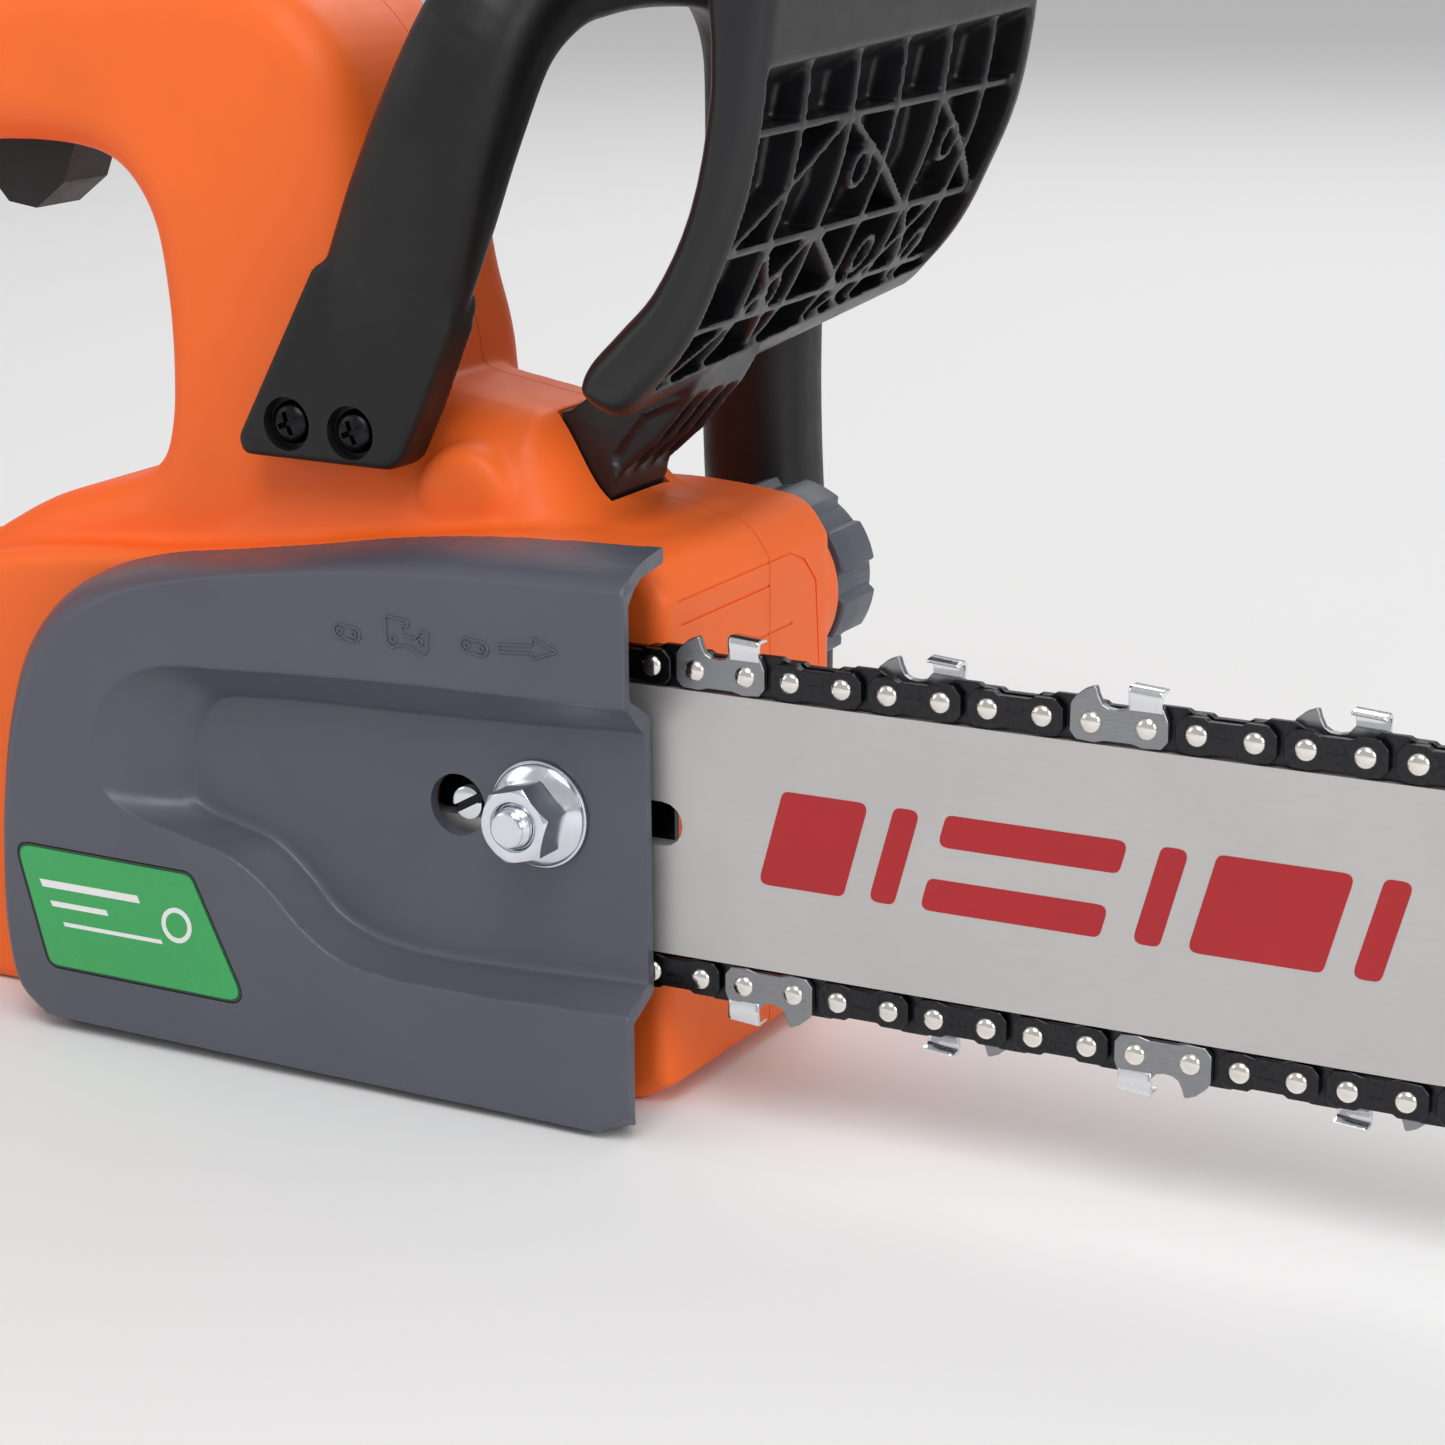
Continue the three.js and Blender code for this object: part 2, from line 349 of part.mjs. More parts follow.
function tangs(x0, x1, firstPair, side) {
  const ms = [];
  for (let k = -3; k < 20; k++) {
    const c = firstPair + (k + 0.5) * PITCH;
    if (c - 6 < x0 || c + 6 > x1) continue;
    ms.push(prismXZ([[c - 5, -INNER + 1], [c + 5, -INNER + 1], [c + 4, -INNER - 1.5], [c + 1.2, -INNER - 4], [c - 1.2, -INNER - 4], [c - 4, -INNER - 1.5]].map(([x, z]) => [x, BAR_Z + side * (RIVET_H + z)]), BAR_Y - 0.6, BAR_Y + 0.6));
  }
  return ms;
}
const Y0 = BAR_Y - 3.2, Y1 = BAR_Y + 3.2;
const RUN0 = 84, RUN1 = NOSE_X - 44.5;
const fixOrient = m => m;
const topRun = add(prismXZ(runLine(RUN0, RUN1, 110, 1, 0, false), Y0, Y1), ...tangs(RUN0, RUN1, 110, 1));
const botRun = add(prismXZ(runLine(RUN0, RUN1, 100.4, -1, 1, true), Y0, Y1), ...tangs(RUN0, RUN1, 100.4, -1));
put('chain_top', topRun, DARK, 0.4, 0.8);
put('chain_bottom', botRun, DARK, 0.4, 0.8);
// band round an arc through a list of rivet-line points with given outward offsets
function bandAlong(line, lo, hi) {
  const off = (d) => line.map((p, i) => {
    const a = line[Math.max(i - 1, 0)], b = line[Math.min(i + 1, line.length - 1)];
    const t = [b[0] - a[0], b[1] - a[1]], l = Math.hypot(...t);
    const dd = typeof d === 'function' ? d(i) : d;
    return [p[0] + dd * -t[1] / l, p[1] + dd * t[0] / l];
  });
  return [...off(hi), ...off(lo).reverse()];
}
const noseLine = [];
const N0 = RUN1 + 0.4;
for (const x of [0, 8, 16, 24]) noseLine.push([N0 + x, BAR_Z + RIVET_H - 0.35 - x ** 2 * 0.0042]);
for (let i = 0; i <= 22; i++) { const a = Math.PI * (0.5 - 0.03) - i * Math.PI * 0.94 / 22; noseLine.push([NOSE_X + (NOSE_R + 0.35) * Math.cos(a), BAR_Z + (NOSE_R + 0.35) * Math.sin(a)]); }
for (const x of [24, 16, 8, 0]) noseLine.push([N0 + x, BAR_Z - RIVET_H + 0.35 + x ** 2 * 0.0042]);
put('chain_nose', prismXZ(bandAlong(noseLine, -3.0, i => (i === 0 || i === noseLine.length - 1) ? 1.2 : [3, 3, 5.8, 3][i % 4]), Y0, Y1), DARK, 0.4, 0.8);
const driveLine = [];
const dA = Math.PI * 0.5 + 0.17;
driveLine.push([83.6, BAR_Z - RIVET_H], [72, BAR_Z - RIVET_H + 0.6]);
for (const x of [50, 30]) driveLine.push([x, BAR_Z - RIVET_H + 1.8 + (72 - x) * 0.15]);
for (let i = 0; i <= 16; i++) { const a = -dA + 0.34 - i * (2 * Math.PI - 2 * dA + 0.68) / 16; driveLine.push([DRIVE_X + DRIVE_R * Math.cos(a), BAR_Z + DRIVE_R * Math.sin(a)]); }
for (const x of [30, 50]) driveLine.push([x, BAR_Z + RIVET_H - 1.8 - (72 - x) * 0.15]);
driveLine.push([72, BAR_Z + RIVET_H - 0.6], [83.6, BAR_Z + RIVET_H]);
put('chain_drive', prismXZ(bandAlong(driveLine, -2.8, i => (i === 0 || i === driveLine.length - 1) ? 1.2 : [3, 3, 5.2, 3][i % 4]), Y0, Y1), DARK, 0.4, 0.8);

// ---- drive ----
put('drive_sprocket', prismXZ(moved(star(DRIVE_TEETH, 10.5, 14.6, 4.0, 2.6, 0.2), DRIVE_X, BAR_Z), -38.9, -34.2, [circle(DRIVE_X, BAR_Z, 5.2, 20).reverse()]), STEEL, 0.45, 0.9);
put('spindle', add(cylY(DRIVE_X, BAR_Z, 4.9, -40.0, -14.6, 20), cylY(DRIVE_X, BAR_Z, 6.4, -33.9, -33.1, 20)), STEEL, 0.3, 0.9);
put('retaining_clip', prismXZ([...circle(DRIVE_X, BAR_Z, 8, 24)], -39.9, -39.2, [circle(DRIVE_X, BAR_Z, 5.2, 20).reverse()]), DARK, 0.4, 0.9);
put('spindle_bearing_outer', prismXZ(circle(DRIVE_X, BAR_Z, 8.9, 28), -32.7, -27.2, [circle(DRIVE_X, BAR_Z, 5.2, 20).reverse()]), STEEL, 0.3, 0.9);
put('spindle_bearing_inner', prismXZ(circle(DRIVE_X, BAR_Z, 8.2, 28), -18.8, -15.0, [circle(DRIVE_X, BAR_Z, 5.2, 20).reverse()]), STEEL, 0.3, 0.9);
const gearLine = (teeth, phase) => {
  const r = teeth * MODULE / 2, p = Math.PI * MODULE;
  const pts = [];
  for (let i = 0; i < teeth; i++) {
    const a = phase + 2 * Math.PI * i / teeth;
    for (const [rr, w] of [[r - 1.45, -0.28 * p], [r + 1.0, -0.11 * p], [r + 1.0, 0.11 * p], [r - 1.45, 0.28 * p]]) pts.push([rr * Math.cos(a + w / rr), rr * Math.sin(a + w / rr)]);
  }
  return pts;
};
put('drive_gear', prismXZ(moved(gearLine(GEAR_TEETH, MOTOR_A), DRIVE_X, BAR_Z), -26.2, -19.4, [circle(DRIVE_X, BAR_Z, 5.2, 20).reverse()]), STEEL, 0.4, 0.9);
put('motor_shaft', add(prismXZ(moved(gearLine(PINION_TEETH, MOTOR_A + Math.PI + Math.PI / PINION_TEETH), MOTOR_X, MOTOR_Z), -26.4, -19.2), cylY(MOTOR_X, MOTOR_Z, 2.5, -19.3, 26, 12)), STEEL, 0.3, 0.9);
put('motor', prismXZ(circle(MOTOR_X, MOTOR_Z, 22.5, 28), -13.5, 18.5, [circle(MOTOR_X, MOTOR_Z, 2.9, 14).reverse()]), 0x8e9196, 0.4, 0.8);
const fan = [];
for (let i = 0; i < 8; i++) fan.push(rotY(box(MOTOR_X + 4, MOTOR_X + 19, 20.4, 25.6, MOTOR_Z - 0.8, MOTOR_Z + 0.8), MOTOR_X, MOTOR_Z, i * Math.PI / 4));
put('motor_fan', cut(add(cylY(MOTOR_X, MOTOR_Z, 19, 19.4, 21, 24), cylY(MOTOR_X, MOTOR_Z, 5, 19.4, 25.6, 16), ...fan), cylY(MOTOR_X, MOTOR_Z, 2.7, 10, 40, 12)), BLACK);

// ---- bar clamping and chain tension ----
put('bar_stud', add(cylY(STUD_X, STUD_Z, 3.85, -55.6, -21, 20), prismXZ(circle(STUD_X, STUD_Z, 7.4, 6), -21.2, -16.5)), ZINC, 0.25, 0.9);
put('bar_nut', cut(add(prismXZ(circle(STUD_X, STUD_Z, 7.6, 6, 0.26), -53.2, -44.2), cylY(STUD_X, STUD_Z, 10.2, -44.9, -43.3, 30)), cylY(STUD_X, STUD_Z, 4.05, -60, -30, 20)), ZINC, 0.25, 0.9);
put('tension_screw', cut(add(cylY(SCREW_X, ADJ_Z, 3.3, -41.6, -39.2, 20), cylY(SCREW_X, ADJ_Z, 2.0, -39.6, -26, 12)), rotY(box(SCREW_X - 5, SCREW_X + 5, -43, -40.6, ADJ_Z - 0.55, ADJ_Z + 0.55), SCREW_X, ADJ_Z, -0.5)), ZINC, 0.25, 0.9);
put('tension_pin', add(box(PIN_X - 4, PIN_X + 4, -29.4, -24.6, PIN_Z - 5, PIN_Z + 5), cylY(PIN_X, PIN_Z, 2.4, -38.2, -29, 14)), STEEL, 0.4, 0.9);

// ---- oil system ----
const tankLine = [[34, 6], [80, 6], [90.5, 12], [90.5, 95], [85, 99.5], [60, 100], [44, 92], [34, 60]];
let tank = add(along(tankLine, [[-16, 2], [-14, 0], [29, 0], [31, 2]]), cylY(CAP_X, CAP_Z, 12.7, 30, 40.2, 32));
tank = cut(tank, along(inset(tankLine, 2), [[-14, 1], [-12, 0], [27, 0], [29, 1]]), cylY(CAP_X, CAP_Z, 10.2, 26, 45, 28));
tank = cut(tank, cylY(86, 14, 5.2, -20, 40, 16));
put('oil_tank', biggest(tank), 0xd8d4c4, 0.5);
const lobes = [];
for (let i = 0; i < 96; i++) { const a = 2 * Math.PI * i / 96, q = (i % 12); lobes.push([CAP_X + (q < 7 ? CAP_R + 0.7 : CAP_R - 0.9) * Math.cos(a), CAP_Z + (q < 7 ? CAP_R + 0.7 : CAP_R - 0.9) * Math.sin(a)]); }
let cap = add(prismXZ(lobes.filter((_, i) => [0, 6, 7, 11].includes(i % 12) || i % 12 === 3), 41.0, 55.6), turnY([[0, 55], [16.9, 55], [16.2, 57.2], [0, 57.2]], CAP_X, CAP_Z, 32));
cap = cut(cap, cylY(CAP_X, CAP_Z, 13.2, 40, 47.4, 30));
cap = add(cap, cut(cylY(CAP_X, CAP_Z, 9.7, 35, 48, 28), cylY(CAP_X, CAP_Z, 7.6, 34, 46, 24)));
put('oil_cap', cap, 0x50545f);
put('cap_seal', prismXZ(circle(CAP_X, CAP_Z, 12.8, 28), 41.0, 43.0, [circle(CAP_X, CAP_Z, 10.1, 28).reverse()]), BLACK);
put('oil_pump', add(box(-2, 22, -29, -10, 8, 24), cylX(-20, 16, 4, 21.5, 31, 14)), 0x9a9ca0, 0.5);
put('oil_window', cylY(42, 26, 8.8, 31.6, 35.4, 24), 0xe8d9a0, 0.15);

// ---- front handle ----
const hp = [[22, -28.9, 124], [28, -28.9, 133], [35.5, -29, 148], [43, -29.4, 165], [51, -29.6, 183], [57, -25, 199], [60.5, -13, 208.5], [62, 4, 211.5], [62, 26, 211.5], [61.5, 48, 209], [61, 64, 202], [60.5, 73, 190], [59.8, 75.4, 172], [59, 75.6, 145], [58.5, 75.4, 118], [59.5, 75, 92], [62, 74, 66], [64, 69, 48], [64, 60, 36], [63, 50, 29], [62, 43, 26]];
let fh = sweep(hp, (t, i) => i < 1 ? [4.2, 13.5] : i < 2 ? [4.2, 14.2] : i === 2 ? [5.2, 15.0] : i === 3 ? [8.2, 14.6] : i === 4 ? [10.8, 13] : i < 18 ? [11.6, 11.8] : [11, 13], 14, [1, 0, -0.45]);
// screwed foot on the right, standing just off the housing
const footR = [[1.8, 120.6], [3, 117.2], [36.6, 116.8], [39.4, 118.8], [43.8, 127.6], [50.6, 143.5], [52, 150], [26, 157], [20.6, 154.4]];
fh = add(fh, along(footR, [[-33.2, 1.2], [-32.2, 0.2], [-23.6, 0]]));
const footL = [[38, 14], [38, 44], [44, 50], [84, 50], [88, 44], [88, 24], [80, 14]];
fh = add(fh, along(inset(footL, 3), [[35.5, 0], [44, 0.4], [47, 3]]));
fh = cut(fh, cylY(14, 124.2, 2.2, -50, 0, 12), cylY(28.4, 123.6, 2.2, -50, 0, 12), cylY(14, 124.2, 5.2, -50, -30.6, 20), cylY(28.4, 123.6, 5.2, -50, -30.6, 20));
fh = cut(fh, cylY(46, 38, 2.2, 30, 60, 12), cylY(46, 38, 4.6, 44.4, 60, 18), cylY(80, 38, 2.2, 30, 60, 12), cylY(80, 38, 4.6, 44.4, 60, 18));
fh = cut(fh, box(-60, 33, -23.5, 40, 60, 220), cylY(CAP_X, CAP_Z, 21, 30, 60, 24));
put('front_handle', biggest(fh), BLACK, 0.7);
const screwY = (x, z, yHead, dir, len, r) => cut(add(cylY(x, z, r, Math.min(yHead, yHead - dir * 2.2), Math.max(yHead, yHead - dir * 2.2), 16), cylY(x, z, 1.9, Math.min(yHead - dir * 2, yHead - dir * len), Math.max(yHead - dir * 2, yHead - dir * len), 10)),
  box(x - 2.2, x + 2.2, Math.min(yHead + dir, yHead - dir * 1.2), Math.max(yHead + dir, yHead - dir * 1.2), z - 0.6, z + 0.6), box(x - 0.6, x + 0.6, Math.min(yHead + dir, yHead - dir * 1.2), Math.max(yHead + dir, yHead - dir * 1.2), z - 2.2, z + 2.2));
put('handle_screw_1', screwY(14, 124.2, -32.9, -1, 8.6, 4.2), DARK, 0.35, 0.7);
put('handle_screw_2', screwY(28.4, 123.6, -32.9, -1, 8.6, 4.2), DARK, 0.35, 0.7);
put('handle_screw_3', screwY(46, 38, 47, 1, 11, 4.1), DARK, 0.35, 0.7);
put('handle_screw_4', screwY(80, 38, 47, 1, 11, 4.1), DARK, 0.35, 0.7);

// ---- hand guard ----
function guardSec(y, d) {      // d thins the section from the front and the edges
  const t = (y + 31) / 123, up = 9 * t;
  const rear = [[75.8, 133.6 + up], [76.8, 138 + up], [83.4, 145.2 + up], [90.8, 153 + up * 0.95], [98.5, 168 + up * 0.8], [103, 190 + up * 0.45], [104, 221]];
  const front = [[115, 222], [114.5, 195 + up * 0.4], [110.5, 172 + up * 0.7], [104.5, 156.5 + up * 0.9], [98.5, 144.5 + up], [91.5, 136 + up], [84, 129.8 + up]];
  const e = Math.min(y + 31, 92 - y);
  const r = e >= 5 ? 0 : 4.2 * (1 - Math.sqrt(Math.max(0, 1 - (1 - e / 5) ** 2)));
  return (r > 0 ? inset([...rear, ...front], r) : [...rear, ...front]).map(([x, z]) => [x, y, z]);
}
let guard = skin([-31, -30.2, -28.6, -26, -10, 10, 30, 50, 70, 80, 87, 89.6, 91.2, 92].map(y => guardSec(y, 0)));
// pocket on the front side leaves a skin and an edge wall
const pocket = (y) => { const s = guardSec(y, 0); return [[3.2, 0], [3.2, 1], [3.2, 2], [3.2, 3], [3.2, 4], [3.2, 5]].map(([d, i]) => { const p = s[i + (i === 0 ? 1 : 0)]; return [p[0] + d * 0.95, y, p[2] - d * 0.35 + (i === 0 ? -2 : 0)]; }).concat([[150, y, 214], [150, y, 136 + 9 * (y + 31) / 123]]); };
const pocketAll = skin([-26.5, -10, 10, 30, 50, 70, 86].map(pocket));
const ribs = [];
for (const y of [-8, 12, 32, 52, 72]) ribs.push(box(70, 112, y - 0.9, y + 0.9, 120, 224));
for (const z of [160, 182, 202]) ribs.push(box(70, 112, -31, 92, z - 0.9, z + 0.9));
const guardSolid = guard;
guard = cut(guard, pocketAll);
for (const r of ribs) guard = add(guard, both(r, both(guardSolid, skin([-27, 90].map(y => { const s = guardSec(y, 0); return s.map(p => [p[0] - 1.6, p[1], p[2]]); })))));
// arm reaching down into the housing, with the hinge eye
const drum = [];
for (let i = 0; i <= 12; i++) { const a = (92 - i * 136 / 12) * Math.PI / 180; drum.push([PIVOT_X + DRUM_R * Math.cos(a), PIVOT_Z + DRUM_R * Math.sin(a)]); }
const arm = add(
  prismXZ([...drum, [62, 107.4], [57, 109.4], [53.6, 112.4], [53.5, 116], [55.2, 119], [58.1, 120.4]], -5.4, 15.8),
  prismXZ([[58.3, 124.4], [60.5, 126.4], [76.5, 138], [90, 137], [86, 130.6], [75.5, 126], [69.2, 118], [66, 116], [60, 118]], -5.4, 15.8),
  ...[-3.4, 2.6, 8.6, 14.6].map(y => prismXZ([[68.2, 114.6], [70.2, 114.2], [78, 121], [86, 130.4], [75, 127]], y - 0.7, y + 0.7)));
guard = cut(add(guard, arm), cylY(PIVOT_X, PIVOT_Z, 2.35, -30, 30, 14));
put('hand_guard', biggest(guard), DARK, 0.6);
put('guard_pivot', cylY(PIVOT_X, PIVOT_Z, 2.1, -8.6, 19.4, 14), STEEL, 0.3, 0.9);
put('guard_spring', add(box(40, 41, -5.4, 1.6, 106, 122), box(40, 52.6, -5.4, 1.6, 106, 107), box(51.8, 52.6, -5.4, 1.6, 106, 112)), STEEL, 0.3, 0.9);
put('brake_switch', add(box(20, 38.5, -12, 2, 106, 120), box(38.2, 39.6, -4, -1, 112, 116)), BLACK);

// ---- controls in the rear handle ----
let trig = prismXZ([[-48.8, 186], [-46.6, 183], [-48.8, 179.6], [-53.5, 175], [-58.5, 163], [-66, 157.5], [-73, 158.5], [-79, 165], [-86, 172], [-88.5, 178], [-84, 180.5], [-66, 184], [-56, 187]], -5.0, 9.0);
trig = cut(trig, cylY(TRIG_X, TRIG_Z, 1.7, -8, 12, 10));
put('trigger', trig, BLACK, 0.55);
put('trigger_pin', cylY(TRIG_X, TRIG_Z, 1.5, -11, 15, 10), STEEL, 0.3, 0.9);
put('trigger_switch', add(box(-86, -60, -7, 11, 188.0, 195.5), box(-78, -70, -2, 6, 186.2, 188.2)), 0x23262b);
const coil = [];
for (let i = 0; i <= 36; i++) { const a = i / 36 * Math.PI * 2 * 3.5; coil.push([-82.6 + 2.0 * Math.cos(a), 2 + 2.0 * Math.sin(a), 181.6 + 5.4 * i / 36]); }
put('trigger_spring', sweep(coil, [0.32, 0.32], 5, [0, 0, 1]), STEEL, 0.3, 0.9);
put('lock_off_button', add(cylY(-42, 190, 6.9, 23, 30, 22), cylY(-42, 190, 8.1, 20.3, 23.2, 22)), 0xd23a24, 0.5);

// ---- power ----
const packLine = [[-212, 8], [-206, 4], [-104, 4], [-99.4, 8], [-99.4, 55.5], [-103, 60], [-204, 60], [-212, 54]];
let pack = along(packLine, [[-30, 4], [-28.5, 1], [-25, 0], [27, 0], [30.5, 1], [32, 4]]);
pack = cut(pack,
  box(-220, -90, -24.7, -20.6, 55.9, 70), box(-220, -90, -24.7, -17.8, 55.9, 59.4),
  box(-220, -90, 22.6, 26.7, 55.9, 70), box(-220, -90, 19.8, 26.7, 55.9, 59.4),
  box(-116, -90, -18, 20, 19, 49),
  box(-216, -196, -11, 13, 40, 70));
put('battery_pack', biggest(pack), BLACK, 0.6);
put('battery_latch', add(box(-213, -197, -10.4, 12.4, 45, 59.4), box(-201, -197.2, -6, 8, 59, 63)), 0xd23a24, 0.5);
put('terminal_block', add(box(-98.9, -91, -16.4, 18.4, 20.6, 47.4), box(-113, -98, -10, -9, 28, 40), box(-113, -98, 0.5, 1.5, 28, 40), box(-113, -98, 11, 12, 28, 40)), BLACK);
put('control_board', add(box(-82, -80.4, -24, 24, 10, 62), box(-80.6, -72, -16, -4, 20, 34), cylX(10, 46, 6, -80.6, -62, 14)), 0x1d6b3a, 0.5);

export default group;
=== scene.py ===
import bpy, bmesh, math
import numpy as np
from mathutils import Vector, Matrix


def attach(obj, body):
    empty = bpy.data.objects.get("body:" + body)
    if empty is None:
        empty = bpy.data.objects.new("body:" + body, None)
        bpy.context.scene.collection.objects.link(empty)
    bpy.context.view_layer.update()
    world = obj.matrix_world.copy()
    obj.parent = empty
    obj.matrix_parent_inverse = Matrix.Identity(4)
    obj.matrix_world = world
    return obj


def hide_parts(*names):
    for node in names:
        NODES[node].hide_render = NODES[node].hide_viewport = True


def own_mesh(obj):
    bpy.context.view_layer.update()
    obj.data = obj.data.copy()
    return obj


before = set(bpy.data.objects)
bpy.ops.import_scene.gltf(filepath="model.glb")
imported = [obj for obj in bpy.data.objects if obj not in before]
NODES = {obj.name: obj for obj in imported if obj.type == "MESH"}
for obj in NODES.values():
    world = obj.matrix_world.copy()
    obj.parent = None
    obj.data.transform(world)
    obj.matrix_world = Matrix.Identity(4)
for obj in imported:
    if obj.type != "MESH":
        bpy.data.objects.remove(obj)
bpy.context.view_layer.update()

scene = bpy.context.scene
MM = 0.001

# ------------------------------------------------------------------ sizes (mm)
PITCH, BAR_Z, BAR_Y, RIVET_H = 19.05, 58.8, -36.8, 29.1
BAR_H = 25.3
NOSE_X, NOSE_R = 304.9, 24.3
DRIVE_X, DRIVE_R = -8.4, 18.2
STUD_X, STUD_Z = 74.6, 58.3
ADJ_X, ADJ_Z = 56.4, 57.4
SPLIT_Y = 8.0
RIGHT_Y, LEFT_Y = -33.0, 35.0
CAP_X, CAP_Z, CAP_R = 76.5, 84.8, 18.0
WALL = 3.0

# ------------------------------------------------------------------ camera
az, el, roll = math.radians(28.5), math.radians(15.51), math.radians(-0.49)
back = Vector((math.sin(az) * math.cos(el), -math.cos(az) * math.cos(el), math.sin(el)))
right = Vector((math.cos(az), math.sin(az), 0))
up = back.cross(right)
r2 = math.cos(roll) * right + math.sin(roll) * up
u2 = -math.sin(roll) * right + math.cos(roll) * up
cd = bpy.data.cameras.new("cam")
cd.sensor_width = 36
cd.lens = 36 * 3536 / 1445
cam = bpy.data.objects.new("cam", cd)
scene.collection.objects.link(cam)
m = Matrix((r2, u2, back)).transposed().to_4x4()
m.translation = Vector((0.401, -0.574, 0.248))
cam.matrix_world = m
cd.clip_start, cd.clip_end = 0.01, 100
scene.camera = cam


# ------------------------------------------------------------------ mesh tools
def new_obj(name, verts, faces, mm=True):
    me = bpy.data.meshes.new(name)
    k = MM if mm else 1.0
    me.from_pydata([(v[0] * k, v[1] * k, v[2] * k) for v in verts], [], [list(f) for f in faces])
    me.update()
    ob = bpy.data.objects.new(name, me)
    scene.collection.objects.link(ob)
    return ob


def fix_normals(ob):
    bm = bmesh.new()
    bm.from_mesh(ob.data)
    bmesh.ops.remove_doubles(bm, verts=bm.verts, dist=1e-7)
    bmesh.ops.recalc_face_normals(bm, faces=bm.faces)
    if bm.calc_volume(signed=True) < 0:
        bmesh.ops.reverse_faces(bm, faces=bm.faces)
    bm.to_mesh(ob.data)
    bm.free()
    return ob


def apply_mods(ob):
    dg = bpy.context.evaluated_depsgraph_get()
    dg.update()
    me = bpy.data.meshes.new_from_object(ob.evaluated_get(dg), depsgraph=dg)
    ob.modifiers.clear()
    old = ob.data
    ob.data = me
    bpy.data.meshes.remove(old)
    return ob


def boolean(a, b, op, keep=False):
    mod = a.modifiers.new("b", "BOOLEAN")
    mod.object, mod.operation = b, op
    try:
        mod.solver = "MANIFOLD"
    except TypeError:
        mod.solver = "EXACT"
    n0 = len(a.data.polygons)
    apply_mods(a)
    if len(a.data.polygons) == 0:
        print("boolean lost", a.name, b.name, n0)
    if not keep:
        me = b.data
        bpy.data.objects.remove(b)
        bpy.data.meshes.remove(me)
    return a


def union(a, *bs):
    for b in bs:
        boolean(a, b, "UNION")
    return a


def minus(a, *bs):
    for b in bs:
        boolean(a, b, "DIFFERENCE")
    return a


def inter(a, b):
    return boolean(a, b, "INTERSECT")


def copy_of(ob, name="copy"):
    c = bpy.data.objects.new(name, ob.data.copy())
    scene.collection.objects.link(c)
    return c


def remesh(ob, voxel, smooth=6, factor=0.5):
    mod = ob.modifiers.new("r", "REMESH")
    mod.mode, mod.voxel_size, mod.adaptivity = "VOXEL", voxel * MM, 0
    apply_mods(ob)
    if smooth:
        mod = ob.modifiers.new("s", "SMOOTH")
        mod.factor, mod.iterations = factor, smooth
        apply_mods(ob)
    return ob


def bevel(ob, width, seg=2, angle=30):
    mod = ob.modifiers.new("bv", "BEVEL")
    mod.width, mod.segments, mod.limit_method = width * MM, seg, "ANGLE"
    mod.angle_limit = math.radians(angle)
    mod.harden_normals = False
    return ob


def shade(ob, angle=35):
    me = ob.data
    for p in me.polygons:
        p.use_smooth = True
    me.set_sharp_from_angle(angle=math.radians(angle))
    return ob


def join(obs, name):
    bm = bmesh.new()
    mats = []
    for o in obs:
        me = o.data
        base = []
        for mt in me.materials:
            if mt not in mats:
                mats.append(mt)
            base.append(mats.index(mt))
        me.transform(o.matrix_world)
        if base:
            for p in me.polygons:
                p.material_index = base[p.material_index]
        bm.from_mesh(me)
    me = bpy.data.meshes.new(name)
    bm.to_mesh(me)
    bm.free()
    for mt in mats:
        me.materials.append(mt)
    ob = bpy.data.objects.new(name, me)
    scene.collection.objects.link(ob)
    for o in obs:
        old = o.data
        bpy.data.objects.remove(o)
        bpy.data.meshes.remove(old)
    return ob


# ---- outlines
def area(pts):
    return 0.5 * sum(a[0] * b[1] - b[0] * a[1] for a, b in zip(pts, pts[1:] + pts[:1]))


def curve_closed(pts, seg=5, sharp=()):
    """Centripetal Catmull-Rom round a closed outline; points in sharp stay corners."""
    P = np.array(pts, float)
    n = len(P)
    out = []
    for i in range(n):
        p0, p1, p2, p3 = P[i - 1], P[i], P[(i + 1) % n], P[(i + 2) % n]
        if i in sharp:
            p0 = 2 * p1 - p2
        if (i + 1) % n in sharp:
            p3 = 2 * p2 - p1
        t = [0.0]
        for a, b in ((p0, p1), (p1, p2), (p2, p3)):
            t.append(t[-1] + max(np.linalg.norm(b - a), 1e-6) ** 0.5)
        for k in range(seg):
            u = t[1] + (t[2] - t[1]) * k / seg
            A1 = (t[1] - u) / (t[1] - t[0]) * p0 + (u - t[0]) / (t[1] - t[0]) * p1
            A2 = (t[2] - u) / (t[2] - t[1]) * p1 + (u - t[1]) / (t[2] - t[1]) * p2
            A3 = (t[3] - u) / (t[3] - t[2]) * p2 + (u - t[2]) / (t[3] - t[2]) * p3
            B1 = (t[2] - u) / (t[2] - t[0]) * A1 + (u - t[0]) / (t[2] - t[0]) * A2
            B2 = (t[3] - u) / (t[3] - t[1]) * A2 + (u - t[1]) / (t[3] - t[1]) * A3
            out.append(((t[2] - u) / (t[2] - t[1]) * B1 + (u - t[1]) / (t[2] - t[1]) * B2).tolist())
    return out


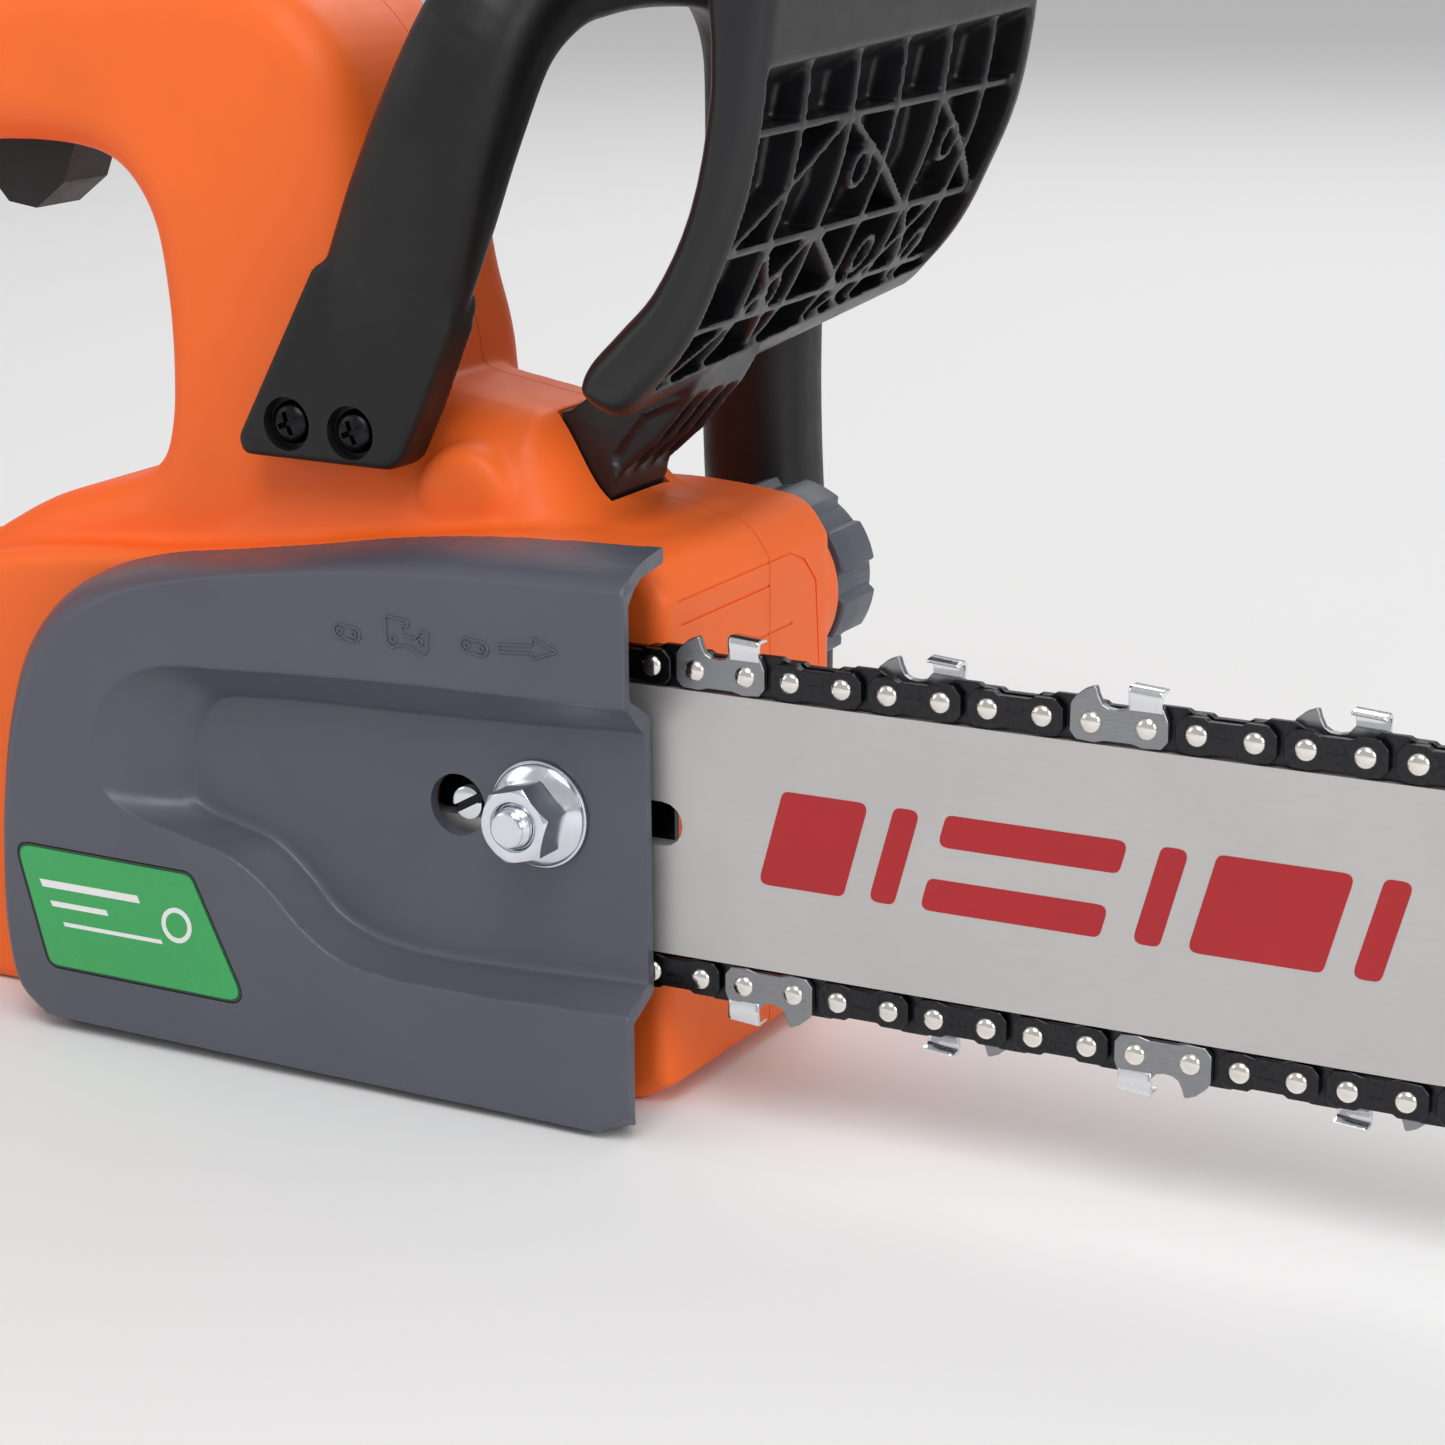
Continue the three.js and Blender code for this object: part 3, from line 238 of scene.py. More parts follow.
def round_corners(pts, r, seg=4):
    """Outline with each corner replaced by an arc of radius r (or as much as fits)."""
    out = []
    n = len(pts)
    for i in range(n):
        p = np.array(pts[i], float)
        a = np.array(pts[i - 1], float) - p
        b = np.array(pts[(i + 1) % n], float) - p
        la, lb = np.linalg.norm(a), np.linalg.norm(b)
        a, b = a / la, b / lb
        c = float(np.clip(a @ b, -1, 1))
        ang = math.acos(c)
        rr = r[i] if isinstance(r, (list, tuple)) else r
        if ang > math.radians(172) or rr <= 0:
            out.append(p.tolist())
            continue
        d = min(rr / math.tan(ang / 2), la * 0.45, lb * 0.45)
        s, e = p + a * d, p + b * d
        for k in range(seg + 1):
            t = k / seg
            q = (1 - t) ** 2 * s + 2 * t * (1 - t) * p + t * t * e
            out.append(q.tolist())
    return out


def inset(pts, d):
    P = np.array(pts, float)
    s = 1 if area(pts) > 0 else -1
    U = P - np.roll(P, 1, 0)
    V = np.roll(P, -1, 0) - P
    U /= np.linalg.norm(U, axis=1)[:, None]
    V /= np.linalg.norm(V, axis=1)[:, None]
    NU = np.stack([-U[:, 1], U[:, 0]], 1) * s
    NV = np.stack([-V[:, 1], V[:, 0]], 1) * s
    k = np.maximum(0.35, 1 + (NU * NV).sum(1))
    return (P + d * (NU + NV) / k[:, None]).tolist()


def skin(rings, name="skin", caps=True):
    n = len(rings[0])
    verts = [p for r in rings for p in r]
    faces = []
    for k in range(len(rings) - 1):
        for i in range(n):
            j = (i + 1) % n
            faces.append((k * n + i, k * n + j, (k + 1) * n + j, (k + 1) * n + i))
    if caps:
        faces.append(tuple(range(n))[::-1])
        faces.append(tuple((len(rings) - 1) * n + i for i in range(n)))
    return fix_normals(new_obj(name, verts, faces))


def along(pts, stations, name="along"):
    return skin([[(q[0], y, q[1]) for q in inset(pts, d)] if d else [(q[0], y, q[1]) for q in pts] for y, d in stations], name)


def blend_y(a, b, stations, name="blend"):
    A, B = np.array(a, float), np.array(b, float)
    return skin([[(q[0], y, q[1]) for q in (A * (1 - s) + B * s).tolist()] for y, s in stations], name)


def prism(pts, y0, y1, name="prism"):
    return skin([[(q[0], y, q[1]) for q in pts] for y in (y0, y1)], name)


def prism_x(pts, x0, x1, name="prism"):
    return skin([[(x, q[0], q[1]) for q in pts] for x in (x0, x1)], name)


def circle(x, z, r, n=32, ph=0.0):
    return [[x + r * math.cos(ph + 2 * math.pi * i / n), z + r * math.sin(ph + 2 * math.pi * i / n)] for i in range(n)]


def cyl_y(x, z, r, y0, y1, n=32):
    return prism(circle(x, z, r, n), y0, y1)


def box(x0, x1, y0, y1, z0, z1, name="box"):
    return prism([[x0, z0], [x1, z0], [x1, z1], [x0, z1]], y0, y1, name)


def turn_y(prof, x, z, n=48, name="turn"):
    """Profile of (radius, y) turned about a line parallel to Y."""
    rings = [[(x + max(r, 1e-4) * math.cos(2 * math.pi * i / n), y, z + max(r, 1e-4) * math.sin(2 * math.pi * i / n)) for i in range(n)] for r, y in prof]
    return skin(rings, name, caps=True)


def tube(path, radius, n=12, ref=(0, 0, 1), name="tube", closed=False):
    P = [np.array(p, float) for p in path]
    rings = []
    N = len(P)
    prev = None
    for i, p in enumerate(P):
        a = P[(i - 1) % N] if closed else P[max(i - 1, 0)]
        b = P[(i + 1) % N] if closed else P[min(i + 1, N - 1)]
        t = (b - a) / np.linalg.norm(b - a)
        if prev is None:
            r = np.array(ref, float)
            s = np.cross(t, r)
            if np.linalg.norm(s) < 1e-3:
                s = np.cross(t, (1, 0, 0.1))
        else:
            s = prev - t * (prev @ t)
        s /= np.linalg.norm(s)
        prev = s
        u = np.cross(s, t)
        rr = radius(i / (N - 1)) if callable(radius) else radius
        ra, rb = rr if isinstance(rr, (tuple, list)) else (rr, rr)
        rings.append([tuple(p + ra * math.cos(w) * s + rb * math.sin(w) * u) for w in [2 * math.pi * k / n for k in range(n)]])
    if closed:
        verts = [q for r in rings for q in r]
        faces = [(k * n + i, k * n + (i + 1) % n, ((k + 1) % N) * n + (i + 1) % n, ((k + 1) % N) * n + i) for k in range(N) for i in range(n)]
        return fix_normals(new_obj(name, verts, faces))
    return skin(rings, name)


def spline3(points, seg=6):
    P = np.array(points, float)
    P = np.vstack([2 * P[0] - P[1], P, 2 * P[-1] - P[-2]])
    out = []
    for i in range(1, len(P) - 2):
        p0, p1, p2, p3 = P[i - 1], P[i], P[i + 1], P[i + 2]
        for k in range(seg):
            t = k / seg
            out.append(0.5 * ((2 * p1) + (-p0 + p2) * t + (2 * p0 - 5 * p1 + 4 * p2 - p3) * t * t + (-p0 + 3 * p1 - 3 * p2 + p3) * t ** 3))
    out.append(P[-2])
    return [p.tolist() for p in out]


# ------------------------------------------------------------------ materials
def nodes_of(name):
    mt = bpy.data.materials.new(name)
    mt.use_nodes = True
    nt = mt.node_tree
    for n in list(nt.nodes):
        nt.nodes.remove(n)
    out = nt.nodes.new("ShaderNodeOutputMaterial")
    bs = nt.nodes.new("ShaderNodeBsdfPrincipled")
    nt.links.new(bs.outputs[0], out.inputs[0])
    tc = nt.nodes.new("ShaderNodeTexCoord")
    return mt, nt, bs, tc


def noise(nt, vec, scale, detail=3, rough=0.5, stretch=None):
    if stretch:
        mp = nt.nodes.new("ShaderNodeMapping")
        mp.inputs["Scale"].default_value = stretch
        nt.links.new(vec, mp.inputs["Vector"])
        vec = mp.outputs[0]
    nz = nt.nodes.new("ShaderNodeTexNoise")
    nz.inputs["Scale"].default_value = scale
    nz.inputs["Detail"].default_value = detail
    nz.inputs["Roughness"].default_value = rough
    nt.links.new(vec, nz.inputs["Vector"])
    return nz.outputs["Fac"]


def remap(nt, val, a, b, lo, hi):
    mr = nt.nodes.new("ShaderNodeMapRange")
    mr.inputs["From Min"].default_value, mr.inputs["From Max"].default_value = a, b
    mr.inputs["To Min"].default_value, mr.inputs["To Max"].default_value = lo, hi
    nt.links.new(val, mr.inputs["Value"])
    return mr.outputs[0]


def mix_rgb(nt, fac, a, b):
    mx = nt.nodes.new("ShaderNodeMix")
    mx.data_type = "RGBA"
    nt.links.new(fac, mx.inputs[0])
    for i, c in ((6, a), (7, b)):
        if isinstance(c, tuple):
            mx.inputs[i].default_value = (*c, 1)
        else:
            nt.links.new(c, mx.inputs[i])
    return mx.outputs[2]


def plastic(name, col, rough=0.45, grain=0.35, grain_scale=2600, var=0.06, spec=0.5, edge=0.12):
    mt, nt, bs, tc = nodes_of(name)
    v = tc.outputs["Object"]
    big = noise(nt, v, 28, 3)
    lo = tuple(c * (1 - var) for c in col)
    hi = tuple(min(1, c * (1 + var)) for c in col)
    c1 = mix_rgb(nt, remap(nt, big, 0.35, 0.65, 0, 1), lo, hi)
    geo = nt.nodes.new("ShaderNodeNewGeometry")
    # painted highlight: convex edges (high pointiness) are mixed towards a lighter tone of the colour
    painted_edge_highlight = remap(nt, geo.outputs["Pointiness"], 0.52, 0.62, 0, edge)
    c2 = mix_rgb(nt, painted_edge_highlight, c1, tuple(min(1, c * 1.25 + 0.03) for c in col))
    nt.links.new(c2, bs.inputs["Base Color"])
    mid = noise(nt, v, 160, 4, 0.6)
    nt.links.new(remap(nt, mid, 0.3, 0.7, rough - 0.05, rough + 0.06), bs.inputs["Roughness"])
    bs.inputs["Specular IOR Level"].default_value = spec
    fine = noise(nt, v, grain_scale, 2, 0.6)
    bp = nt.nodes.new("ShaderNodeBump")
    bp.inputs["Strength"].default_value = grain
    bp.inputs["Distance"].default_value = 0.00006
    nt.links.new(fine, bp.inputs["Height"])
    nt.links.new(bp.outputs[0], bs.inputs["Normal"])
    return mt


def metal(name, col, rough=0.3, stretch=None, scale=300, var=0.08, bump=0.1, metallic=1.0, rvar=0.08):
    mt, nt, bs, tc = nodes_of(name)
    v = tc.outputs["Object"]
    n1 = noise(nt, v, scale, 4, 0.6, stretch)
    big = noise(nt, v, 45, 3)
    c1 = mix_rgb(nt, remap(nt, n1, 0.3, 0.7, 0, 1), tuple(c * (1 - var) for c in col), tuple(min(1, c * (1 + var)) for c in col))
    c2 = mix_rgb(nt, remap(nt, big, 0.4, 0.75, 0, 0.25), c1, tuple(c * 0.8 for c in col))
    nt.links.new(c2, bs.inputs["Base Color"])
    bs.inputs["Metallic"].default_value = metallic
    nt.links.new(remap(nt, n1, 0.3, 0.7, rough - rvar, rough + rvar), bs.inputs["Roughness"])
    bp = nt.nodes.new("ShaderNodeBump")
    bp.inputs["Strength"].default_value = bump
    bp.inputs["Distance"].default_value = 0.00004
    nt.links.new(n1, bp.inputs["Height"])
    nt.links.new(bp.outputs[0], bs.inputs["Normal"])
    return mt


M_ORANGE = plastic("orange_plastic", (0.94, 0.152, 0.02), rough=0.5, grain=0.3, var=0.03, spec=0.35)
M_COVER = plastic("cover_plastic", (0.082, 0.087, 0.115), rough=0.38, grain=0.35, var=0.05, spec=0.5)
M_CAP = plastic("cap_plastic", (0.075, 0.085, 0.112), rough=0.42, grain=0.3)
M_BLACK = plastic("black_plastic", (0.0065, 0.0065, 0.007), rough=0.46, grain=0.55, grain_scale=1900, var=0.15, spec=0.38)
M_GUARD = plastic("guard_plastic", (0.011, 0.0112, 0.013), rough=0.36, grain=0.3, var=0.1, spec=0.45)
M_RUBBER = plastic("grip_rubber", (0.016, 0.016, 0.017), rough=0.75, grain=0.9, grain_scale=900, var=0.15, spec=0.3)
M_RED = plastic("red_plastic", (0.55, 0.02, 0.012), rough=0.4, grain=0.2)
M_TANK = plastic("tank_plastic", (0.66, 0.62, 0.5), rough=0.4, grain=0.2)
M_LABEL = plastic("label_film", (0.035, 0.37, 0.10), rough=0.28, grain=0.1, var=0.03)
M_LABEL_EDGE = plastic("label_edge", (0.012, 0.05, 0.022), rough=0.3, grain=0.1)
M_WHITE = plastic("label_white", (0.8, 0.82, 0.8), rough=0.35, grain=0.1, var=0.02)
M_REDINK = plastic("bar_ink", (0.40, 0.005, 0.011), rough=0.38, grain=0.2, var=0.04)
M_BAR = metal("bar_steel", (0.60, 0.585, 0.58), rough=0.46, stretch=(1, 1, 14), scale=110, var=0.02, bump=0.05, metallic=0.75, rvar=0.04)
M_STRAP = metal("chain_black", (0.040, 0.040, 0.043), rough=0.34, scale=900, var=0.25, bump=0.25)
M_CUTTER = metal("chain_cutter", (0.30, 0.305, 0.32), rough=0.36, stretch=(1, 1, 6), scale=500, var=0.12, bump=0.2)
M_PLATED = metal("chain_plated", (0.80, 0.81, 0.84), rough=0.2, stretch=(6, 1, 1), scale=400, var=0.04, bump=0.08)
M_RIVET = metal("rivet_steel", (0.86, 0.82, 0.77), rough=0.17, scale=700, var=0.06, bump=0.15)
M_ZINC = metal("zinc_steel", (0.80, 0.84, 0.90), rough=0.19, scale=350, var=0.05, bump=0.12)
M_SCREW = metal("screw_steel", (0.025, 0.025, 0.027), rough=0.28, scale=600, var=0.3, bump=0.2)
M_STEEL = metal("machined_steel", (0.55, 0.55, 0.56), rough=0.3, scale=500, var=0.08)
M_MOTOR = metal("motor_can", (0.32, 0.33, 0.35), rough=0.42, scale=200)
M_PUMP = metal("pump_metal", (0.42, 0.43, 0.44), rough=0.5, scale=300)
M_BOARD = plastic("board_laminate", (0.02, 0.15, 0.05), rough=0.35)
M_WINDOW = plastic("window_plastic", (0.72, 0.58, 0.26), rough=0.12, grain=0.05)


def dress(ob, mt, body, slot=None, *nodes):
    ob.data.materials.clear()
    ob.data.materials.append(mt)
    return place(ob, body, slot, *nodes)


def place(ob, body, slot=None, *nodes):
    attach(ob, body)
    if nodes:
        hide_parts(*nodes)
    return ob


def cad_material(node, mt, width=0.0, seg=2, angle=35):
    o = NODES[node]
    if not o.material_slots:
        o.data.materials.append(mt)
    for s in o.material_slots:
        s.material = mt
    if width:
        bevel(o, width, seg, angle)


for n, mt, w in [
    ("housing_right", M_ORANGE, 0), ("housing_left", M_ORANGE, 0), ("grip_overmould", M_RUBBER, 0.5),
    ("sprocket_cover", M_COVER, 0), ("cover_label", M_LABEL, 0), ("guide_bar", M_BAR, 0),
    ("nose_sprocket", M_STEEL, 0.1), ("chain_top", M_STRAP, 0), ("chain_bottom", M_STRAP, 0), ("chain_nose", M_STRAP, 0), ("chain_drive", M_STRAP, 0),
    ("drive_sprocket", M_STEEL, 0.2), ("spindle", M_STEEL, 0.3), ("retaining_clip", M_SCREW, 0.1),
    ("spindle_bearing_outer", M_STEEL, 0.3), ("spindle_bearing_inner", M_STEEL, 0.3), ("drive_gear", M_STEEL, 0.1), ("motor_shaft", M_STEEL, 0.1),
    ("motor", M_MOTOR, 0.8), ("motor_fan", M_BLACK, 0.2), ("bar_stud", M_ZINC, 0.3), ("bar_nut", M_ZINC, 0.3), ("tension_screw", M_ZINC, 0.2),
    ("tension_pin", M_STEEL, 0.3), ("oil_tank", M_TANK, 0.4), ("oil_cap", M_CAP, 0), ("cap_seal", M_RUBBER, 0.3), ("oil_pump", M_PUMP, 0.4),
    ("oil_window", M_WINDOW, 0.4), ("front_handle", M_BLACK, 0), ("hand_guard", M_GUARD, 0), ("guard_pivot", M_STEEL, 0.3),
    ("guard_spring", M_STEEL, 0.1), ("brake_switch", M_BLACK, 0.4), ("trigger", M_BLACK, 1.6), ("trigger_pin", M_STEEL, 0.2),
    ("trigger_switch", M_BLACK, 0.4), ("trigger_spring", M_STEEL, 0), ("lock_off_button", M_RED, 0.7), ("battery_pack", M_BLACK, 0.8),
    ("battery_latch", M_RED, 0.8), ("terminal_block", M_BLACK, 0.4), ("control_board", M_BOARD, 0.1),
]:
    cad_material(n, mt, w)
for n in list(NODES):
    if n.startswith("housing_screw") or n.startswith("handle_screw"):
        cad_material(n, M_SCREW, 0.2)

# ------------------------------------------------------------------ housing
bodyLine = [[88, 0], [95, 4], [95.6, 98], [90.5, 104.3], [80, 106.3], [60, 107], [40, 104.5], [20, 101.5], [0, 98.5], [-20, 96], [-40, 94.5], [-58, 92], [-75, 87], [-95, 81.5], [-120, 79], [-150, 79], [-180, 80], [-201, 79], [-206, 74], [-206, 64], [-98, 64], [-98, 3], [-95, 0]]
loopLine = [[34, 84], [32, 134], [28, 150], [24, 175], [18, 193], [6, 204], [-10, 208], [-40, 207], [-90, 201], [-150, 190], [-183, 181], [-199, 170], [-206, 150], [-207.5, 120], [-206, 72], [-100, 70], [-30, 74]]
handHole = [[-57, 100.5], [-33, 107.8], [-27.5, 112], [-25, 119], [-24, 130], [-24.5, 145], [-27.5, 160], [-35, 169], [-50, 172.5], [-90, 170], [-140, 161], [-163, 153], [-173, 140], [-176, 120], [-172, 100], [-162, 87.5], [-148, 82], [-120, 79.5], [-101, 80.5], [-84, 86.2]]
humpLine = [[-24, 92], [10, 133.5], [23, 132.6], [35, 129.9], [45, 128.1], [57.3, 126], [60, 122.2], [69, 109.2], [80, 107.4], [88, 104.6], [88, 97]]
humpFoot = [[-24, 90], [10, 98], [23, 100], [35, 101.5], [45, 102.5], [57.3, 103], [60, 103], [69, 102.8], [80, 102], [88, 100], [88, 97]]
PIVOT_X, PIVOT_Z, DRUM_R = 58.5, 114.6, 11.2
SCREW_X = 57.4


def edge_round(y0, y1, r, n=5, extra=0.0):
    """Stations along Y that round both long edges with radius r."""
    st = []
    for k in range(n + 1):
        a = math.pi / 2 * k / n
        st.append((y0 + r * (1 - math.sin(a)) if False else y0 + r * (1 - math.cos(a)), r * (1 - math.sin(a)) + extra))
    en = [(y1 - (y - y0), d) for y, d in st][::-1]
    return st + en


bl = curve_closed(bodyLine, 4, sharp=(0, 1, 2, 17, 18, 19, 20, 21, 22))
lp = curve_closed(loopLine, 5, sharp=(0, 14, 15, 16))
hh = curve_closed(handHole, 5)
hsh = (0, 5, 9, 10)
hpa, hpb = curve_closed(humpFoot, 4, hsh), curve_closed(humpLine, 4, hsh)

outer = along(bl, edge_round(RIGHT_Y, LEFT_Y, 3.0), "outer")
loop = along(lp, edge_round(-23, 27, 9.0, 7), "loop")
hole_st = [(-40, -12.0), (-23.5, -11.5)] + [(-23 + 9 * (1 - math.cos(a)), -9 * (1 - math.sin(a))) for a in [math.pi / 2 * k / 7 for k in range(1, 8)]]
hole_st = hole_st + [(4 - y, d) for y, d in hole_st][::-1]
hole = along(hh, hole_st, "hole")
minus(loop, hole)
hump = blend_y(hpa, hpb, [(-26, 0), (-24.6, 0.14), (-22.5, 0.38), (-20, 0.6), (-17, 0.8), (-14, 0.92), (-10, 0.985), (-6, 1), (10, 1), (14, 0.985), (18, 0.91), (22, 0.75), (26, 0.4), (28, 0)], "hump")
sh = turn_y([(0.1, -24.8), (7.0, -24.8), (9.2, -24.0), (10.3, -22.6), (10.8, -18), (10.8, -12), (0.1, -12)], 46.4, 110.5, 48)
inter(sh, box(30, 64, -30, -10, 104, 130))
boss = turn_y([(0.1, 25), (17.6, 25), (18.3, 27), (18.3, 37.6), (17.7, 39.2), (16.6, 39.6), (0.1, 39.6)], CAP_X + 0.6, CAP_Z, 64)
housing = outer
union(housing, loop, hump, sh, boss)
remesh(housing, 1.0, 7, 0.5)
# inside
bodyIn = [[88, 3], [92, 5], [92.3, 96], [88, 101.4], [79, 103.3], [60, 104], [40, 101.5], [20, 98.5], [0, 95.5], [-20, 93], [-40, 91.5], [-57, 89], [-74, 84], [-93, 78.5], [-95, 67], [-95, 3]]
rearIn = [[-80, 81.5], [-95, 77.6], [-120, 76], [-150, 76], [-180, 77], [-199, 76], [-202.5, 72], [-202.5, 67], [-94, 67]]
cav = along(bodyIn, [(RIGHT_Y + 3, 1.5), (RIGHT_Y + 6, 0), (LEFT_Y - 6, 0), (LEFT_Y - 3, 1.5)])
cav2 = along(rearIn, [(-29, 1), (-27, 0), (29, 0), (31, 1)])
loop_in = along(inset(loopLine, 3), [(-20, 6), (-14, 0), (18, 0), (24, 6)])
minus(loop_in, along(inset(handHole, -3), [(-40, -6), (-20, -5.5), (-14, 0), (18, 0), (24, -5.5), (42, -6)]))
hump_in = blend_y(inset(humpFoot, 1.5), inset(humpLine, 3), [(-21.5, 0.1), (-20, 0.34), (-17.5, 0.58), (-15, 0.75), (-12, 0.89), (-9, 0.97), (-6, 1), (10, 1), (13, 0.98), (16.5, 0.94), (20, 0.72), (24, 0.3)])
minus(housing, cav, cav2, loop_in, hump_in)
posts = [(86, 14, LEFT_Y), (-88, 14, LEFT_Y), (-88, 72, LEFT_Y), (12, 192, 25.4), (-192, 160, 25.4), (-194, 73, LEFT_Y - 0.5)]
for x, z, y1 in posts:
    minus(housing, cyl_y(x, z, 3.9, y1 - 4, 60, 28))
minus(housing,
      cyl_y(DRIVE_X, BAR_Z, 9.2, -40, -26, 40), box(48, 69, -40, -25, 42, 48), cyl_y(SCREW_X, ADJ_Z, 3.6, -40, -25, 24),
      cyl_y(STUD_X, STUD_Z, 4.2, -40, -25, 24), cyl_y(CAP_X, CAP_Z, 13.2, 20, 60, 48), box(57.3, 69.2, -6, 16.6, 104.5, 140),
      box(-93, -52.6, -5.6, 9.6, 150, 190), cyl_y(-42, 190, 7.6, 15, 40, 32), box(-114, -92, -17, 19, 20, 48), cyl_y(42, 26, 9.2, 28, 60, 32))
# soft grip recess
gripTop = [[-28, 207.6], [-40, 207.2], [-90, 201.2], [-150, 190.2], [-183, 181.2], [-199, 170.2], [-206.2, 150], [-207.2, 128]]
gripIn = [[-203.2, 130], [-202.3, 150], [-196, 167.6], [-181.5, 177.9], [-149.4, 187.0], [-89.6, 198.0], [-40, 204.0], [-30, 204.2]]
minus(housing, prism(inset([[-28, 212], [-40, 212], [-90, 206], [-150, 195], [-185, 186], [-204, 173], [-212, 150], [-213, 128]] + gripIn, -0.6), -11, 15))
# battery rails
union(housing, box(-196, -100, -24, -21, 56.5, 66), box(-196, -100, 23, 26, 56.5, 66))
union(housing, box(-196, -100, -21.2, -18.5, 56.5, 58.8), box(-196, -100, 20.5, 23.2, 56.5, 58.8))
# fine moulded lines on the front face
for y0, y1, z in [(-28, 16, 97), (-27, 8, 92.4), (3.6, 17.4, 83), (-31, -12, 12.9)]:
    minus(housing, box(95.25, 99, y0, y1, z, z + 0.5))
minus(housing, prism_x([[16, 97.55], [16, 97], [22, 94.6], [27, 89.5], [28.5, 72], [29.1, 72], [27.6, 89.8], [22.4, 95.1]], 95.25, 99))
# pivot plates beside the slot
plate_o = [[48, 125.5], [56.6, 125], [62.5, 118.5], [63, 111], [58.5, 109], [52, 111.5], [48, 116]]
for y0, y1 in ((-8.4, -6.3), (16.9, 19.2)):
    pp = prism(inset(plate_o, 0.4), y0, y1)
    minus(pp, cyl_y(PIVOT_X, PIVOT_Z, 2.3, -10, 20.5, 24))
    union(housing, pp)
# parting groove, then the two halves
right_half = copy_of(housing, "housing_right_skin")
minus(right_half, box(-260, 160, SPLIT_Y - 0.14, 80, -10, 260))
left_half = housing
left_half.name = "housing_left_skin"
minus(left_half, box(-260, 160, -80, SPLIT_Y + 0.14, -10, 260))
shade(right_half, 40)
shade(left_half, 40)
dress(right_half, M_ORANGE, "chassis", "orange_plastic", "housing_right")
dress(left_half, M_ORANGE, "chassis", "orange_plastic", "housing_left")

# ------------------------------------------------------------------ sprocket cover
coverBase = [[98, 108.7], [62, 107.3], [40, 105], [22, 102], [2, 99], [-17, 96], [-32, 90.5], [-41.5, 80.5], [-46.5, 66], [-49, 50], [-50, 36], [-50, 18], [-46.5, 5.5], [-39.5, 0.8], [20, 0.6], [91, 0.6], [98, 0.6]]
coverFace = [[98, 103.6], [62, 103], [40, 101.8], [22, 99.8], [4, 97], [-12.7, 92.4], [-25, 85.5], [-34.6, 75], [-40.5, 62], [-43.5, 48], [-44.8, 36.8], [-45.2, 19.9], [-43, 9], [-37, 3.4], [20, 2.4], [90.5, 1.4], [97.5, 7]]
shp = (0, 13, 14, 15, 16)
cb, cf = curve_closed(coverBase, 5, shp), curve_closed(coverFace, 5, shp)
sts = [(-33.4, 0), (-40, 0.08), (-44, 0.18), (-46.5, 0.29), (-48.5, 0.42), (-50, 0.58), (-51.1, 0.75), (-51.8, 0.9), (-52.05, 1.02)]
cover = blend_y(cb, cf, sts, "cover")
cbi, cfi = inset(coverBase, 2.4), inset(coverFace, 2.4)
for l in (cbi, cfi):
    l[0][0], l[-1][0], l[-2][0] = 112, 112, 100
cover_in = blend_y(curve_closed(cbi, 3, shp), curve_closed(cfi, 3, shp), [(-30, 0), (-44, 0.18), (-47.2, 0.5), (-49.6, 0.95)])
recFloor = [[110, 77.2], [74, 75.2], [44.7, 74.1], [14.2, 73.1], [3.5, 71.5], [-1, 66], [-3.5, 58], [-4, 51], [1, 48], [8, 46.3], [15, 44.4], [22.7, 38.5], [28.7, 32.4], [36, 28.9], [48, 27], [110, 29.3]]
recOut = [[110, 82.9], [74, 82.6], [44, 81.9], [12, 80.2], [-7, 78.4], [-17, 72.5], [-21.8, 62.5], [-20.5, 53], [-13, 48.3], [-1, 45.6], [9.5, 43], [18, 38], [25, 31.5], [33.5, 26.2], [45, 24.2], [110, 25.2]]
rs = (0, 15)
rf, ro = curve_closed(recFloor, 5, rs), curve_closed(recOut, 5, rs)
rec_cut = blend_y(rf, ro, [(-43, 0), (-43.6, 0.02), (-45, 0.14), (-50.6, 0.86), (-51.6, 0.97), (-52, 1), (-56, 1.2)])
rfw, row = curve_closed(inset(recFloor, -2.4), 4, rs), curve_closed(inset(recOut, -2.4), 4, rs)
rec_wall = blend_y(rfw, row, [(-40.6, 0), (-52, 1)])
solid = copy_of(cover, "cover_solid")
inter(solid, box(-60, 98, -60, -30, -5, 120))
inter(rec_wall, solid)
minus(cover, cover_in)
union(cover, rec_wall)
minus(cover, rec_cut)
union(cover, cyl_y(STUD_X, STUD_Z, 8.5, -41.5, -39.1, 40))
remesh(cover, 0.5, 4, 0.5)
# crisp front edge and bores after the soft shape is made
def prism_xy(pts, z0, z1, name="prism"):
    return skin([[(q[0], q[1], z) for q in pts] for z in (z0, z1)], name)


minus(cover, prism_xy([[98.05, -53], [95.6, -33], [120, -33], [120, -53]], -5, 120), prism_xy([[98, -50.2], [85, -33], [85, -28], [110, -28], [110, -50.2]], -5, 9), cyl_y(STUD_X, STUD_Z, 4.4, -60, -30, 32), cyl_y(ADJ_X, ADJ_Z, 6.0, -60, -30, 40))
labelLine = [[-40, 38.6], [-3, 38.2], [1.8, 35.8], [11.2, 17.4], [8.8, 13.4], [-33, 13.8], [-36, 16], [-42, 36.4]]
lab = round_corners([[-42.6, 38.9], [0.6, 38.4], [12.6, 13.3], [-35.6, 13.8]], 3.0, 6)
minus(cover, prism(inset(lab, -0.3), -53, -51.35))
cover.name = "cover_skin"
shade(cover, 42)
dress(cover, M_COVER, "cover", "cover_plastic", "sprocket_cover")

